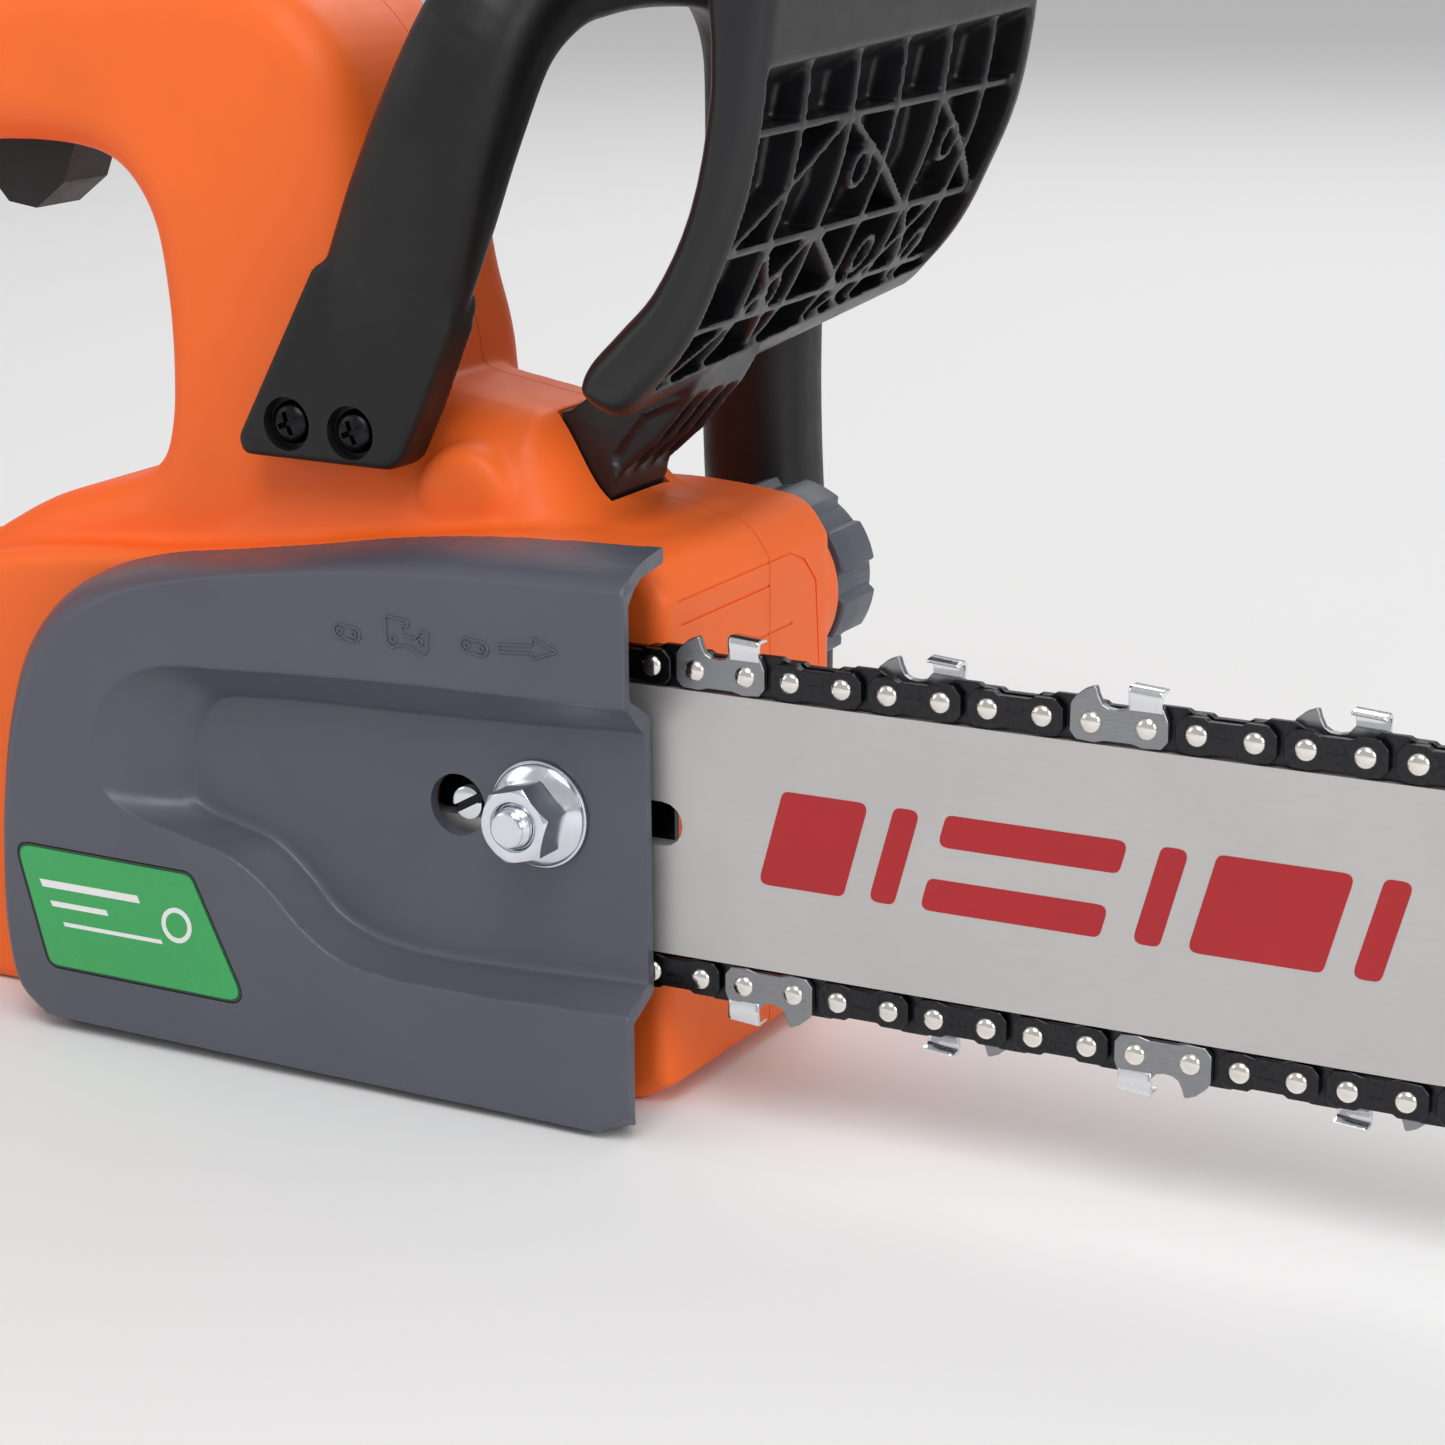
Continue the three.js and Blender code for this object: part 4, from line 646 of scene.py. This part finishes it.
# label: dark rim, green field, plain white bars
rim = prism(lab, -51.95, -51.4, "label_rim")
dress(rim, M_LABEL_EDGE, "cover", "label_film", "cover_label")
field = prism(round_corners(inset([[-42.6, 38.9], [0.6, 38.4], [12.6, 13.3], [-35.6, 13.8]], 0.5), 2.6, 6), -52.12, -51.9, "label_field")
dress(field, M_LABEL, "cover", "label_film")
bars = []
for x0, x1, z, h in [(-36, -12, 30.4, 1.5), (-33.8, -20, 26.6, 1.1), (-31, -7, 22.8, 0.8)]:
    bars.append(prism([[x0, z], [x1, z], [x1 - h * 0.45, z + h], [x0 - h * 0.45, z + h]], -52.2, -52.05))
ring = prism(circle(-3.4, 27.2, 3.6, 36), -52.2, -52.05)
minus(ring, prism(circle(-3.4, 27.2, 2.6, 36), -53, -51))
bars.append(ring)
lb = join(bars, "label_bars")
dress(lb, M_WHITE, "cover", "label_film")

# raised direction marks on the cover: link, cutter, link, arrow
marks = []


def raised(outline, holes=(), h=0.35):
    """Thin raised rim along a closed outline."""
    for loop_pts in (outline, *holes):
        p = [(x, -52.0 - h * 0.3, z) for x, z in loop_pts]
        marks.append(tube(p, 0.27, 6, ref=(0, 1, 0), closed=True))


def link_mark(cx, cz, tilt=-0.12):
    o = []
    for a in range(20):
        t = 2 * math.pi * a / 20
        x, z = 2.9 * math.cos(t), 1.75 * math.sin(t) * (1 - 0.35 * math.exp(-(math.cos(t) * 2.4) ** 2))
        o.append((cx + x, cz + z + tilt * x))
    raised(o, [[(cx + dx + 0.55 * math.cos(b), cz + tilt * dx + 0.55 * math.sin(b)) for b in [2 * math.pi * k / 10 for k in range(10)]] for dx in (-1.5, 1.5)])


link_mark(39.2, 90.6)
link_mark(66.8, 91.0)
cx, cz = 52.3, 90.6
cut_o = [(-4.6, 3.9), (0.4, 3.7), (0.5, 2.6), (-1.4, 2.5), (-0.6, 0.8), (2.0, 0.7), (3.1, 2.2), (4.6, 2.3), (4.4, -1.4), (3.2, -2.2), (0.6, -1.1), (-1.4, -1.1), (-3.2, -1.9), (-4.4, -1.0)]
raised([(cx + x, cz + z - 0.06 * x) for x, z in round_corners(cut_o, 0.5, 2)],
       [[(cx + dx + 0.6 * math.cos(b), cz - 0.1 + 0.6 * math.sin(b)) for b in [2 * math.pi * k / 10 for k in range(10)]] for dx in (-2.9, 2.9)])
raised([(x, z) for x, z in round_corners([(71.9, 92.1), (79.0, 92.6), (79.1, 94.0), (84.4, 92.0), (79.0, 90.1), (79.0, 91.2), (71.9, 90.7)], 0.25, 2)])
mk = join(marks, "cover_marks")
shade(mk, 60)
dress(mk, M_COVER, "cover", "cover_plastic")

# ------------------------------------------------------------------ bar markings
def on_bar(x, s, z):
    return [x + s, z]


dashes = []
zc = BAR_Z
for i, (x0, w, zlo, zhi) in enumerate([(120, 17, -9, 9), (142, 5, -9, 9), (152, 34, -9, -3), (152, 34, 3, 9), (192, 5, -9, 9), (202, 24, -9, 9), (231, 5, -9, 9)]):
    sl = 0.28
    pts = round_corners([[x0 + zlo * sl, zc + zlo], [x0 + w + zlo * sl, zc + zlo], [x0 + w + zhi * sl, zc + zhi], [x0 + zhi * sl, zc + zhi]], 1.6, 4)
    dashes.append(prism(pts, BAR_Y - 2.07, BAR_Y - 1.97))
ink = join(dashes, "bar_marking")
dress(ink, M_REDINK, "bar", "bar_steel")
# rivets round the nose bearing
nr = []
for i in range(6):
    a = 2 * math.pi * i / 6 + 0.3
    nr.append(turn_y([(0.05, BAR_Y - 2.12), (1.3, BAR_Y - 2.1), (1.5, BAR_Y - 1.95), (1.5, BAR_Y - 1.8)], NOSE_X + 3.1 * math.cos(a), BAR_Z + 3.1 * math.sin(a), 14))
nose_rivets = join(nr, "nose_rivets")
shade(nose_rivets)
dress(nose_rivets, M_STEEL, "bar", "bar_steel")

# ------------------------------------------------------------------ chain
H = RIVET_H
sft = NOSE_X - 313
topf = [(84, H), (250 + sft, H), (272 + sft, 28.65), (290 + sft, 27.45), (301 + sft, 26.0)]
a0 = math.radians(82)
arcN = [(NOSE_X + NOSE_R * math.cos(a), NOSE_R * math.sin(a)) for a in np.linspace(a0, -a0, 60)]
botf = [(x, -z) for x, z in topf[::-1]]
th = math.radians(97)
arcD = [(DRIVE_X + DRIVE_R * math.cos(a), DRIVE_R * math.sin(a)) for a in np.linspace(-th, -(2 * math.pi - th), 60)]
PATH = np.array(topf + arcN + botf + [(72, -H + 0.6), (52, -H + 3.2)] + arcD + [(52, H - 3.2), (72, H - 0.6)])
Q = np.vstack([PATH, PATH[:1]])
D = np.r_[0, np.cumsum(np.linalg.norm(np.diff(Q, axis=0), axis=1))]
TOTAL = D[-1]


def at(s):
    s = s % TOTAL
    return np.array([np.interp(s, D, Q[:, 0]), np.interp(s, D, Q[:, 1])])


def frame_at(s_a, s_b):
    """Midpoint and direction of the link whose rivets lie at path lengths s_a and s_b."""
    a, b = at(s_a), at(s_b)
    t = (b - a) / np.linalg.norm(b - a)
    return (a + b) / 2, t


def put_link(mesh_ob, mid, t, y=0.0, flip=False):
    """Copies a link drawn along +X with +Z outward to a place on the path."""
    c = bpy.data.objects.new("l", mesh_ob.data.copy())
    scene.collection.objects.link(c)
    out = np.array([-t[1], t[0]])
    M = Matrix(((t[0], 0, out[0], mid[0] * MM), (0, -1 if flip else 1, 0, (BAR_Y + y) * MM), (t[1], 0, out[1], (mid[1] + BAR_Z) * MM), (0, 0, 0, 1)))
    c.matrix_world = M
    if M.to_3x3().determinant() < 0:
        c.data.flip_normals()
    bpy.context.view_layer.update()
    return c


def with_mat(ob, mt):
    ob.data.materials.clear()
    ob.data.materials.append(mt)
    for p in ob.data.polygons:
        p.material_index = 0
    return ob


def plate(outline, y0, y1, ch=0.16):
    """Stamped plate with a small softened edge."""
    return skin([[(q[0], y, q[1]) for q in inset(outline, d)] for y, d in ((y0, ch), (y0 + ch, 0), (y1 - ch, 0), (y1, ch))], "plate")


tie_out = round_corners([[-8.9, -1.9], [-8.9, 1.6], [-7.5, 3.15], [-3.6, 3.15], [-2.8, 2.6], [2.8, 2.6], [3.6, 3.15], [7.5, 3.15], [8.9, 1.6], [8.9, -1.9], [7.7, -3.3], [4.4, -3.5], [2.4, -3.0], [-2.4, -3.0], [-4.4, -3.5], [-7.7, -3.3]][::-1], 0.6, 3)
tie = plate(tie_out, -2.2, -0.72)
# shallow stamped line in the middle of the strap
minus(tie, prism([[-1.7, 0.0], [1.7, 0.0], [1.7, 0.22], [-1.7, 0.22]], -3, -2.1), prism([[1.5, 0.2], [1.7, 0.2], [1.7, 0.9], [1.5, 0.9]], -3, -2.1))
with_mat(tie, M_STRAP)
drv_out = round_corners([[-6.9, -1.6], [-6.6, 2.0], [-5.2, 3.2], [-3.6, 3.3], [-2.4, 4.0], [2.4, 4.0], [3.6, 3.3], [5.2, 3.2], [6.6, 2.0], [6.9, -1.6], [5.2, -3.0], [3.6, -4.2], [1.4, -7.0], [-1.4, -7.0], [-3.6, -4.2], [-5.2, -3.0]][::-1], 0.6, 3)
drive_link = with_mat(plate(drv_out, -0.62, 0.62), M_STRAP)
# cutter: side plate, plated upper cutting plate and depth gauge
cut_out = round_corners([[-8.9, -1.9], [-8.8, 2.9], [-7.9, 4.3], [-6.2, 5.7], [-4.2, 6.5], [-3.75, 4.9], [-3.0, 3.4], [-1.8, 2.75], [-0.4, 2.6], [1.1, 2.9], [2.2, 4.2], [7.9, 4.0], [8.9, 1.6], [8.9, -1.9], [7.7, -3.3], [4.4, -3.5], [2.4, -3.0], [-2.4, -3.0], [-4.4, -3.5], [-7.7, -3.3]][::-1], 0.5, 3)
cutter_plate = with_mat(plate(cut_out, -2.2, -0.72), M_CUTTER)
rings = []
for x, lean in ((1.9, 0.35), (2.6, 0.0), (5.0, 0.0), (7.4, 0.0), (8.0, 0.3)):
    prof = [(-2.28, 2.9), (-2.62, 4.6), (-2.75, 6.2), (-2.55, 7.0), (-1.9, 7.35), (0.9, 7.1), (1.0, 6.55), (-1.5, 6.6), (-1.75, 6.2), (-1.6, 4.6), (-0.9, 2.9)]
    k = (x - 1.9) / 6.1
    rings.append([(x + lean * (1 if x < 4 else -1) * (0.4 if 3.5 < pz < 6 else 0), py, pz - 0.45 * k * (1 if pz > 5 else 0)) for py, pz in prof])
top_plate = with_mat(skin(rings, "top_plate"), M_PLATED)
bevel(top_plate, 0.12, 1, 40)
apply_mods(top_plate)
cutter = join([cutter_plate, top_plate], "cutter")
rivet = with_mat(turn_y([(0.05, -3.1), (0.7, -3.06), (1.25, -2.92), (1.7, -2.66), (1.95, -2.36), (2.0, -2.15), (2.0, 2.15), (1.95, 2.36), (1.7, 2.66), (1.25, 2.92), (0.7, 3.06), (0.05, 3.1)], 0, 0, 22), M_RIVET)
for o in (tie, drive_link, cutter, rivet):
    shade(o, 38)

S0 = 110 - 84.0          # path length of the first pair's middle
groups = {"bar": {"outer": [], "drive": [], "rivets": []}, "chassis": {"outer": [], "drive": [], "rivets": []}}
BAR_END = D[len(topf) + len(arcN) + len(botf) - 1]
for i in range(40):
    s = S0 + i * PITCH
    kind = ("near", "tie", "far", "tie")[i % 4]
    mid, t = frame_at(s - 5.07, s + 5.07)
    sm = s % TOTAL
    body = "bar" if sm < BAR_END - 3 or sm > TOTAL - 3 else "chassis"
    g = groups[body]
    g["outer"].append(put_link(cutter if kind == "near" else tie, mid, t))
    g["outer"].append(put_link(cutter if kind == "far" else tie, mid, t, flip=True))
    m2, t2 = frame_at(s + 5.07, s + PITCH - 5.07)
    g["drive"].append(put_link(drive_link, m2, t2))
    for e in (-5.07, 5.07):
        p = at(s + e)
        g["rivets"].append(put_link(rivet, p, t))
for o in (tie, drive_link, cutter, rivet):
    me = o.data
    bpy.data.objects.remove(o)
    bpy.data.meshes.remove(me)
first = {"bar": ("chain_top", "chain_bottom", "chain_nose"), "chassis": ("chain_drive",)}
for body, g in groups.items():
    for part, obs in g.items():
        ob = join(obs, f"chain_{part}_{body}")
        if part == "outer":
            place(ob, body, "chain_steel", *first[body])
        else:
            place(ob, body, "chain_steel")

# ------------------------------------------------------------------ bar nut, stud and tension screw
hexa = circle(STUD_X, STUD_Z, 7.55, 6, 0.26)
nut = prism(hexa, -53.2, -44.2, "nut_skin")
inter(nut, turn_y([(0.1, -53.2), (6.6, -53.2), (7.7, -52.5), (7.7, -43.9), (0.1, -43.9)], STUD_X, STUD_Z, 64))
fl = turn_y([(5.0, -46.6), (7.4, -46.1), (9.2, -45.2), (9.75, -44.75), (9.8, -44.35), (9.55, -44.2), (9.55, -44.05), (10.15, -44.0), (10.2, -43.8), (10.15, -43.3), (5.0, -43.3)], STUD_X, STUD_Z, 72)
union(nut, fl)
minus(nut, turn_y([(5.1, -54), (4.8, -53.2), (4.06, -52.5), (4.06, -40), (4.06, -30)], STUD_X, STUD_Z, 48))
bevel(nut, 0.18, 2, 30)
apply_mods(nut)
shade(nut, 35)
dress(nut, M_ZINC, "nut", "zinc_steel", "bar_nut")
prof = [(0.05, -55.6), (3.0, -55.6), (3.3, -55.4), (3.4, -54.9), (3.8, -54.5)]
y = -54.4
while y < -52.6:
    prof += [(3.85, y), (3.42, y + 0.45), (3.42, y + 0.6), (3.85, y + 1.05)]
    y += 1.25
prof += [(3.85, -44), (3.85, -21), (7.0, -21), (7.0, -16.6), (0.05, -16.6)]
stud = turn_y(prof, STUD_X, STUD_Z, 48, "stud_skin")
shade(stud, 32)
dress(stud, M_ZINC, "chassis", "zinc_steel", "bar_stud")

# dark plate on the wall behind the bar, with the tension screw in front of it
bp_ = prism(round_corners([[47, 49.6], [98.0, 49.6], [98.0, 68], [47, 68]], 2.5, 4), -34.55, -33.05, "bar_backing")
minus(bp_, cyl_y(SCREW_X, ADJ_Z, 3.6, -40, -25, 24), cyl_y(STUD_X, STUD_Z, 4.2, -40, -25, 24))
shade(bp_, 35)
dress(bp_, M_SCREW, "chassis", "screw_steel")
ts = turn_y([(0.05, -41.6), (2.6, -41.6), (3.15, -41.35), (3.3, -41.0), (3.3, -39.3), (3.2, -39.2), (2.0, -39.2), (2.0, -26), (0.05, -26)], SCREW_X, ADJ_Z, 48, "tension_screw_skin")
sl = math.cos(0.5), math.sin(0.5)
q = [[-5, -0.8], [5, -0.8], [5, 0.8], [-5, 0.8]]
minus(ts, prism([[SCREW_X + a * sl[0] - b * sl[1], ADJ_Z + a * sl[1] + b * sl[0]] for a, b in q], -43, -39.7))
shade(ts, 35)
dress(ts, M_ZINC, "tensioner", "zinc_steel", "tension_screw")
ts.data.materials.append(M_SCREW)   # painted shade: the slot faces below get the dark screw steel to stand in for the shadow inside the slot
for pl in ts.data.polygons:
    cx, cy, cz = pl.center * 1000
    off = abs(-(cx - SCREW_X) * sl[1] + (cz - ADJ_Z) * sl[0])
    if off < 0.95 and -41.5 < cy < -39.5:
        pl.material_index = 1

# ------------------------------------------------------------------ filler cap
pts = []
n_lobe = 8
for i in range(192):
    a = 2 * math.pi * i / 192
    q = (i % 24) / 24
    hi = CAP_R + 0.7
    lo = CAP_R - 1.0
    if q < 0.56:
        r = hi
    elif q < 0.62:
        r = hi + (lo - hi) * (q - 0.56) / 0.06
    elif q < 0.94:
        r = lo
    else:
        r = lo + (hi - lo) * (q - 0.94) / 0.06
    pts.append([CAP_X + r * math.cos(a + 0.2), CAP_Z + r * math.sin(a + 0.2)])
oc = along(pts, [(41.0, 0.5), (41.4, 0), (54.6, 0), (55.4, 0.35), (55.8, 1.0)], "cap_skin")
dome = turn_y([(0.1, 54), (17.0, 54), (17.0, 55.6), (16.6, 56.5), (15.4, 57.1), (12, 57.2), (11.6, 56.6), (0.1, 56.4)], CAP_X, CAP_Z, 72)
union(oc, dome)
bar_grip = box(CAP_X - 2.6, CAP_X + 2.6, 55.8, 57.2, CAP_Z - 11.2, CAP_Z + 11.2)
union(oc, bar_grip)
minus(oc, cyl_y(CAP_X, CAP_Z, 13.2, 40, 47.4, 48))
pl = cyl_y(CAP_X, CAP_Z, 9.7, 35, 48, 40)
minus(pl, cyl_y(CAP_X, CAP_Z, 7.6, 34, 46, 32))
union(oc, pl)
bevel(oc, 0.3, 2, 32)
apply_mods(oc)
shade(oc, 35)
dress(oc, M_CAP, "filler_cap", "cap_plastic", "oil_cap")

# ------------------------------------------------------------------ front handle
hpath = [[22, -28.9, 124], [28, -28.9, 133], [35.5, -29, 148], [43, -29.4, 165], [51, -29.6, 183], [57, -25, 199], [60.5, -13, 208.5], [62, 4, 211.5], [62, 26, 211.5], [61.5, 48, 209], [61, 64, 202], [60.5, 73, 190], [59.8, 75.4, 172], [59, 75.6, 145], [58.5, 75.4, 118], [59.5, 75, 92], [62, 74, 66], [64, 69, 48], [64, 60, 36], [63, 50, 29], [62, 43, 26]]
hs = [[4.2, 13.5], [4.2, 14.2], [5.2, 15.0], [8.2, 14.6], [10.8, 13]] + [[11.6, 11.8]] * 13 + [[11, 13]] * 3
HP = np.array(spline3(hpath, 5))
HS = np.array(spline3([[a, b, 0] for a, b in hs], 5))
rings = []
for i, p in enumerate(HP):
    t = HP[min(i + 1, len(HP) - 1)] - HP[max(i - 1, 0)]
    t /= np.linalg.norm(t)
    r = np.array([1, 0, -0.45])
    side = np.cross(t, r)
    side /= np.linalg.norm(side)
    upv = np.cross(side, t)
    a, b = HS[i][0], HS[i][1]
    ring = []
    for k in range(28):
        w = 2 * math.pi * (k + 0.5) / 28
        c, s = math.cos(w), math.sin(w)
        ring.append(tuple(p + side * a * math.copysign(abs(c) ** 0.75, c) + upv * b * math.copysign(abs(s) ** 0.75, s)))
    rings.append(ring)
fh = skin(rings, "handle_skin")
footR = round_corners([[1.8, 120.6], [3, 117.2], [36.6, 116.8], [39.4, 118.8], [43.8, 127.6], [50.6, 143.5], [52, 150], [26, 157], [20.6, 154.4]], 1.8, 3)
union(fh, along(footR, [(-33.2, 1.4), (-32.9, 0.6), (-32.2, 0.1), (-23.6, 0)]))
footL = round_corners(inset([[38, 14], [38, 44], [44, 50], [84, 50], [88, 44], [88, 24], [80, 14]], 3), 3, 3)
union(fh, along(footL, [(35.5, 0), (44, 0.4), (46, 1.4), (47, 3)]))
minus(fh, box(-60, 33, -23.5, 40, 60, 220))
remesh(fh, 0.8, 6, 0.5)
minus(fh, cyl_y(14, 124.2, 2.2, -50, 0, 20), cyl_y(28.4, 123.6, 2.2, -50, 0, 20), cyl_y(46, 38, 2.2, 30, 60, 20), cyl_y(80, 38, 2.2, 30, 60, 20),
      cyl_y(14, 124.2, 5.2, -50, -30.6, 36), cyl_y(28.4, 123.6, 5.2, -50, -30.6, 36), cyl_y(46, 38, 4.6, 44.4, 60, 32), cyl_y(80, 38, 4.6, 44.4, 60, 32),
      cyl_y(CAP_X, CAP_Z, 21, 30, 60, 48))
shade(fh, 40)
dress(fh, M_BLACK, "chassis", "black_plastic", "front_handle")


def pan_screw(name, x, z, y_head, d, cad):
    """Cross-recess pan head screw; d is the direction the head faces along Y."""
    p = [(0.05, 0.15), (1.6, 0.1), (3.0, -0.25), (3.9, -1.0), (4.2, -1.8), (4.2, -2.2), (1.9, -2.3), (1.9, -8)]
    sc = turn_y([(r, y_head + d * y) for r, y in p], x, z, 36, name)
    for ang in (0.35, 0.35 + math.pi / 2):
        c, s = math.cos(ang), math.sin(ang)
        q = [[-2.3, -0.5], [2.3, -0.5], [2.3, 0.5], [-2.3, 0.5]]
        pr = [[x + a * c - b * s, z + a * s + b * c] for a, b in q]
        y0, y1 = sorted((y_head + d * 1.0, y_head - d * 1.5))
        minus(sc, prism(pr, y0, y1))
    bevel(sc, 0.12, 1, 35)
    apply_mods(sc)
    shade(sc, 35)
    dress(sc, M_SCREW, "chassis", "screw_steel", cad)


pan_screw("handle_screw_skin_1", 14, 124.2, -32.9, -1, "handle_screw_1")
pan_screw("handle_screw_skin_2", 28.4, 123.6, -32.9, -1, "handle_screw_2")
pan_screw("handle_screw_skin_3", 46, 38, 47, 1, "handle_screw_3")
pan_screw("handle_screw_skin_4", 80, 38, 47, 1, "handle_screw_4")


# ------------------------------------------------------------------ hand guard
def guard_sec(y):
    t = (y + 31) / 123
    u = 9 * t
    rear = [[75.8, 133.6 + u], [76.8, 138 + u], [83.4, 145.2 + u], [90.8, 153 + u * 0.95], [98.5, 168 + u * 0.8], [103, 190 + u * 0.45], [104, 221]]
    front = [[115, 222], [114.5, 195 + u * 0.4], [110.5, 172 + u * 0.7], [104.5, 156.5 + u * 0.9], [98.5, 144.5 + u], [91.5, 136 + u], [84, 129.8 + u]]
    e = min(y + 31, 92 - y)
    d = 0 if e >= 5 else 4.2 * (1 - math.sqrt(max(0, 1 - (1 - e / 5) ** 2)))
    return inset(rear + front, d) if d > 0 else rear + front


def guard_ring(y, sharp=()):
    return [(q[0], y, q[1]) for q in curve_closed(guard_sec(y), 4, sharp)]


ys = [-31, -30.8, -30.3, -29.5, -28.5, -27.3, -26, -22, -16, -10, 0, 10, 20, 30, 40, 50, 60, 70, 75, 80, 84, 87, 88.3, 89.5, 90.5, 91.3, 91.8, 92]
guard = skin([guard_ring(y) for y in ys], "guard_skin")
guard_full = copy_of(guard, "guard_full")


def pocket_ring(y):
    s = guard_sec(y)
    t = (y + 31) / 123
    q = []
    for i in range(6):
        p = s[i + (1 if i == 0 else 0)]
        q.append([p[0] + 3.2 * 0.95, p[1] - 3.2 * 0.35 + (-2 if i == 0 else 0)])
    return [(a[0], y, a[1]) for a in q + [[150, 214], [150, 136 + 9 * t]]]


pocket = skin([pocket_ring(y) for y in (-26.5, -18, -10, 10, 30, 50, 70, 86)])
minus(guard, pocket)
ribs = []
for yb in (-8, 12, 32, 52, 72):
    ribs.append(box(70, 116, yb - 0.8, yb + 0.8, 120, 224))
for zb in (146, 160, 182, 202):
    ribs.append(box(70, 116, -31, 92, zb - 0.8, zb + 0.8))
for y0, z0, y1, z1 in [(-26, 134, 12, 160), (12, 136, -8, 160), (12, 160, 52, 138), (32, 138, 72, 162), (72, 140, 52, 162), (-26, 160, 12, 182), (12, 182, 52, 160), (52, 182, 86, 160)]:
    d = np.array([y1 - y0, z1 - z0], float)
    nrm = np.array([-d[1], d[0]]) / np.linalg.norm(d) * 0.7
    ribs.append(prism_x([[y0 - nrm[0], z0 - nrm[1]], [y1 - nrm[0], z1 - nrm[1]], [y1 + nrm[0], z1 + nrm[1]], [y0 + nrm[0], z0 + nrm[1]]], 70, 116))
for yb, zb in [(2, 150), (42, 152), (70, 150), (22, 171), (62, 172)]:
    c1 = prism_x([[yb + 4 * math.cos(a), zb + 4 * math.sin(a)] for a in [2 * math.pi * k / 24 for k in range(24)]], 70, 116)
    minus(c1, prism_x([[yb + 2.7 * math.cos(a), zb + 2.7 * math.sin(a)] for a in [2 * math.pi * k / 24 for k in range(24)]], 60, 120))
    ribs.append(c1)
limit = skin([[(q[0] - 1.3, q[1], q[2]) for q in guard_ring(y)] for y in (-27, -18, -8, 10, 30, 50, 70, 82, 90)])
inter(limit, guard_full)
for r in ribs:
    rr = r
    inter(rr, copy_of(limit, "lim"))
    union(guard, rr)
me = limit.data
bpy.data.objects.remove(limit)
bpy.data.meshes.remove(me)
drum = []
for i in range(25):
    a = math.radians(92 - i * 136 / 24)
    drum.append([PIVOT_X + DRUM_R * math.cos(a), PIVOT_Z + DRUM_R * math.sin(a)])
union(guard, prism(drum + [[62, 107.4], [57, 109.4], [53.6, 112.4], [53.5, 116], [55.2, 119], [58.1, 120.4]], -5.4, 15.8))
union(guard, prism([[58.3, 124.4], [60.5, 126.4], [76.5, 138], [90, 137], [86, 130.6], [75.5, 126], [69.2, 118], [66, 116], [60, 118]], -5.4, 15.8))
for y in (-3.4, 2.6, 8.6, 14.6):
    union(guard, prism([[68.2, 114.6], [70.2, 114.2], [78, 121], [86, 130.4], [75, 127]], y - 0.7, y + 0.7))
remesh(guard, 0.6, 3, 0.4)
minus(guard, cyl_y(PIVOT_X, PIVOT_Z, 2.35, -30, 30, 24))
shade(guard, 40)
dress(guard, M_GUARD, "guard", "black_plastic", "hand_guard")

# ------------------------------------------------------------------ trigger spring
sp = copy_of(NODES["trigger_spring"], "trigger_spring_skin")
shade(sp, 40)
dress(sp, M_STEEL, "chassis", "machined_steel", "trigger_spring")
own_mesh(sp)

# ------------------------------------------------------------------ soft grip with cross grooves
gband = curve_closed(gripTop + gripIn, 4, sharp=(0, 7, 8, 15))
grip = prism(inset(gband, 0.02), -10.6, 14.6, "grip_skin")
for k in range(22):
    x = -44 - k * 6.4
    z = np.interp(-x, [28, 40, 90, 150, 183, 199], [207.6, 207.2, 201.2, 190.2, 181.2, 170.2])
    minus(grip, box(x - 0.7, x + 0.7, -8.6, 12.6, z - 1.0, z + 8))
bevel(grip, 0.35, 2, 40)
apply_mods(grip)
shade(grip, 40)
dress(grip, M_RUBBER, "chassis", "grip_rubber", "grip_overmould")

# ------------------------------------------------------------------ floor and light
floor = new_obj("floor", [(-9, -9, -0.00005), (9, -9, -0.00005), (9, 9, -0.00005), (-9, 9, -0.00005)], [(0, 1, 2, 3)], mm=False)
mt, nt, bs, tc = nodes_of("floor_paint")
bs.inputs["Base Color"].default_value = (0.86, 0.86, 0.86, 1)
bs.inputs["Roughness"].default_value = 0.9
floor.data.materials.append(mt)

world = bpy.data.worlds.new("w")
scene.world = world
world.use_nodes = True
bg = world.node_tree.nodes["Background"]
bg.inputs[0].default_value = (1, 1, 1, 1)
bg.inputs[1].default_value = 0.5


def area_light(name, loc, target, size, power):
    ld = bpy.data.lights.new(name, "AREA")
    ld.shape, ld.size, ld.energy = "SQUARE", size, power
    lo = bpy.data.objects.new(name, ld)
    scene.collection.objects.link(lo)
    lo.location = loc
    lo.rotation_mode = "QUATERNION"
    lo.rotation_quaternion = (Vector(target) - Vector(loc)).to_track_quat("-Z", "Y")
    return lo


area_light("key", (0.45, -0.95, 1.45), (0.1, 0, 0.08), 0.9, 12)
area_light("front", (1.7, -0.5, 0.7), (0.1, 0, 0.08), 0.8, 8)
area_light("side", (-1.2, -0.9, 0.7), (0.0, 0, 0.1), 0.8, 2)
area_light("rear", (-0.2, 1.4, 1.3), (0.05, 0, 0.1), 1.0, 8)
scene.view_settings.view_transform = "Standard"
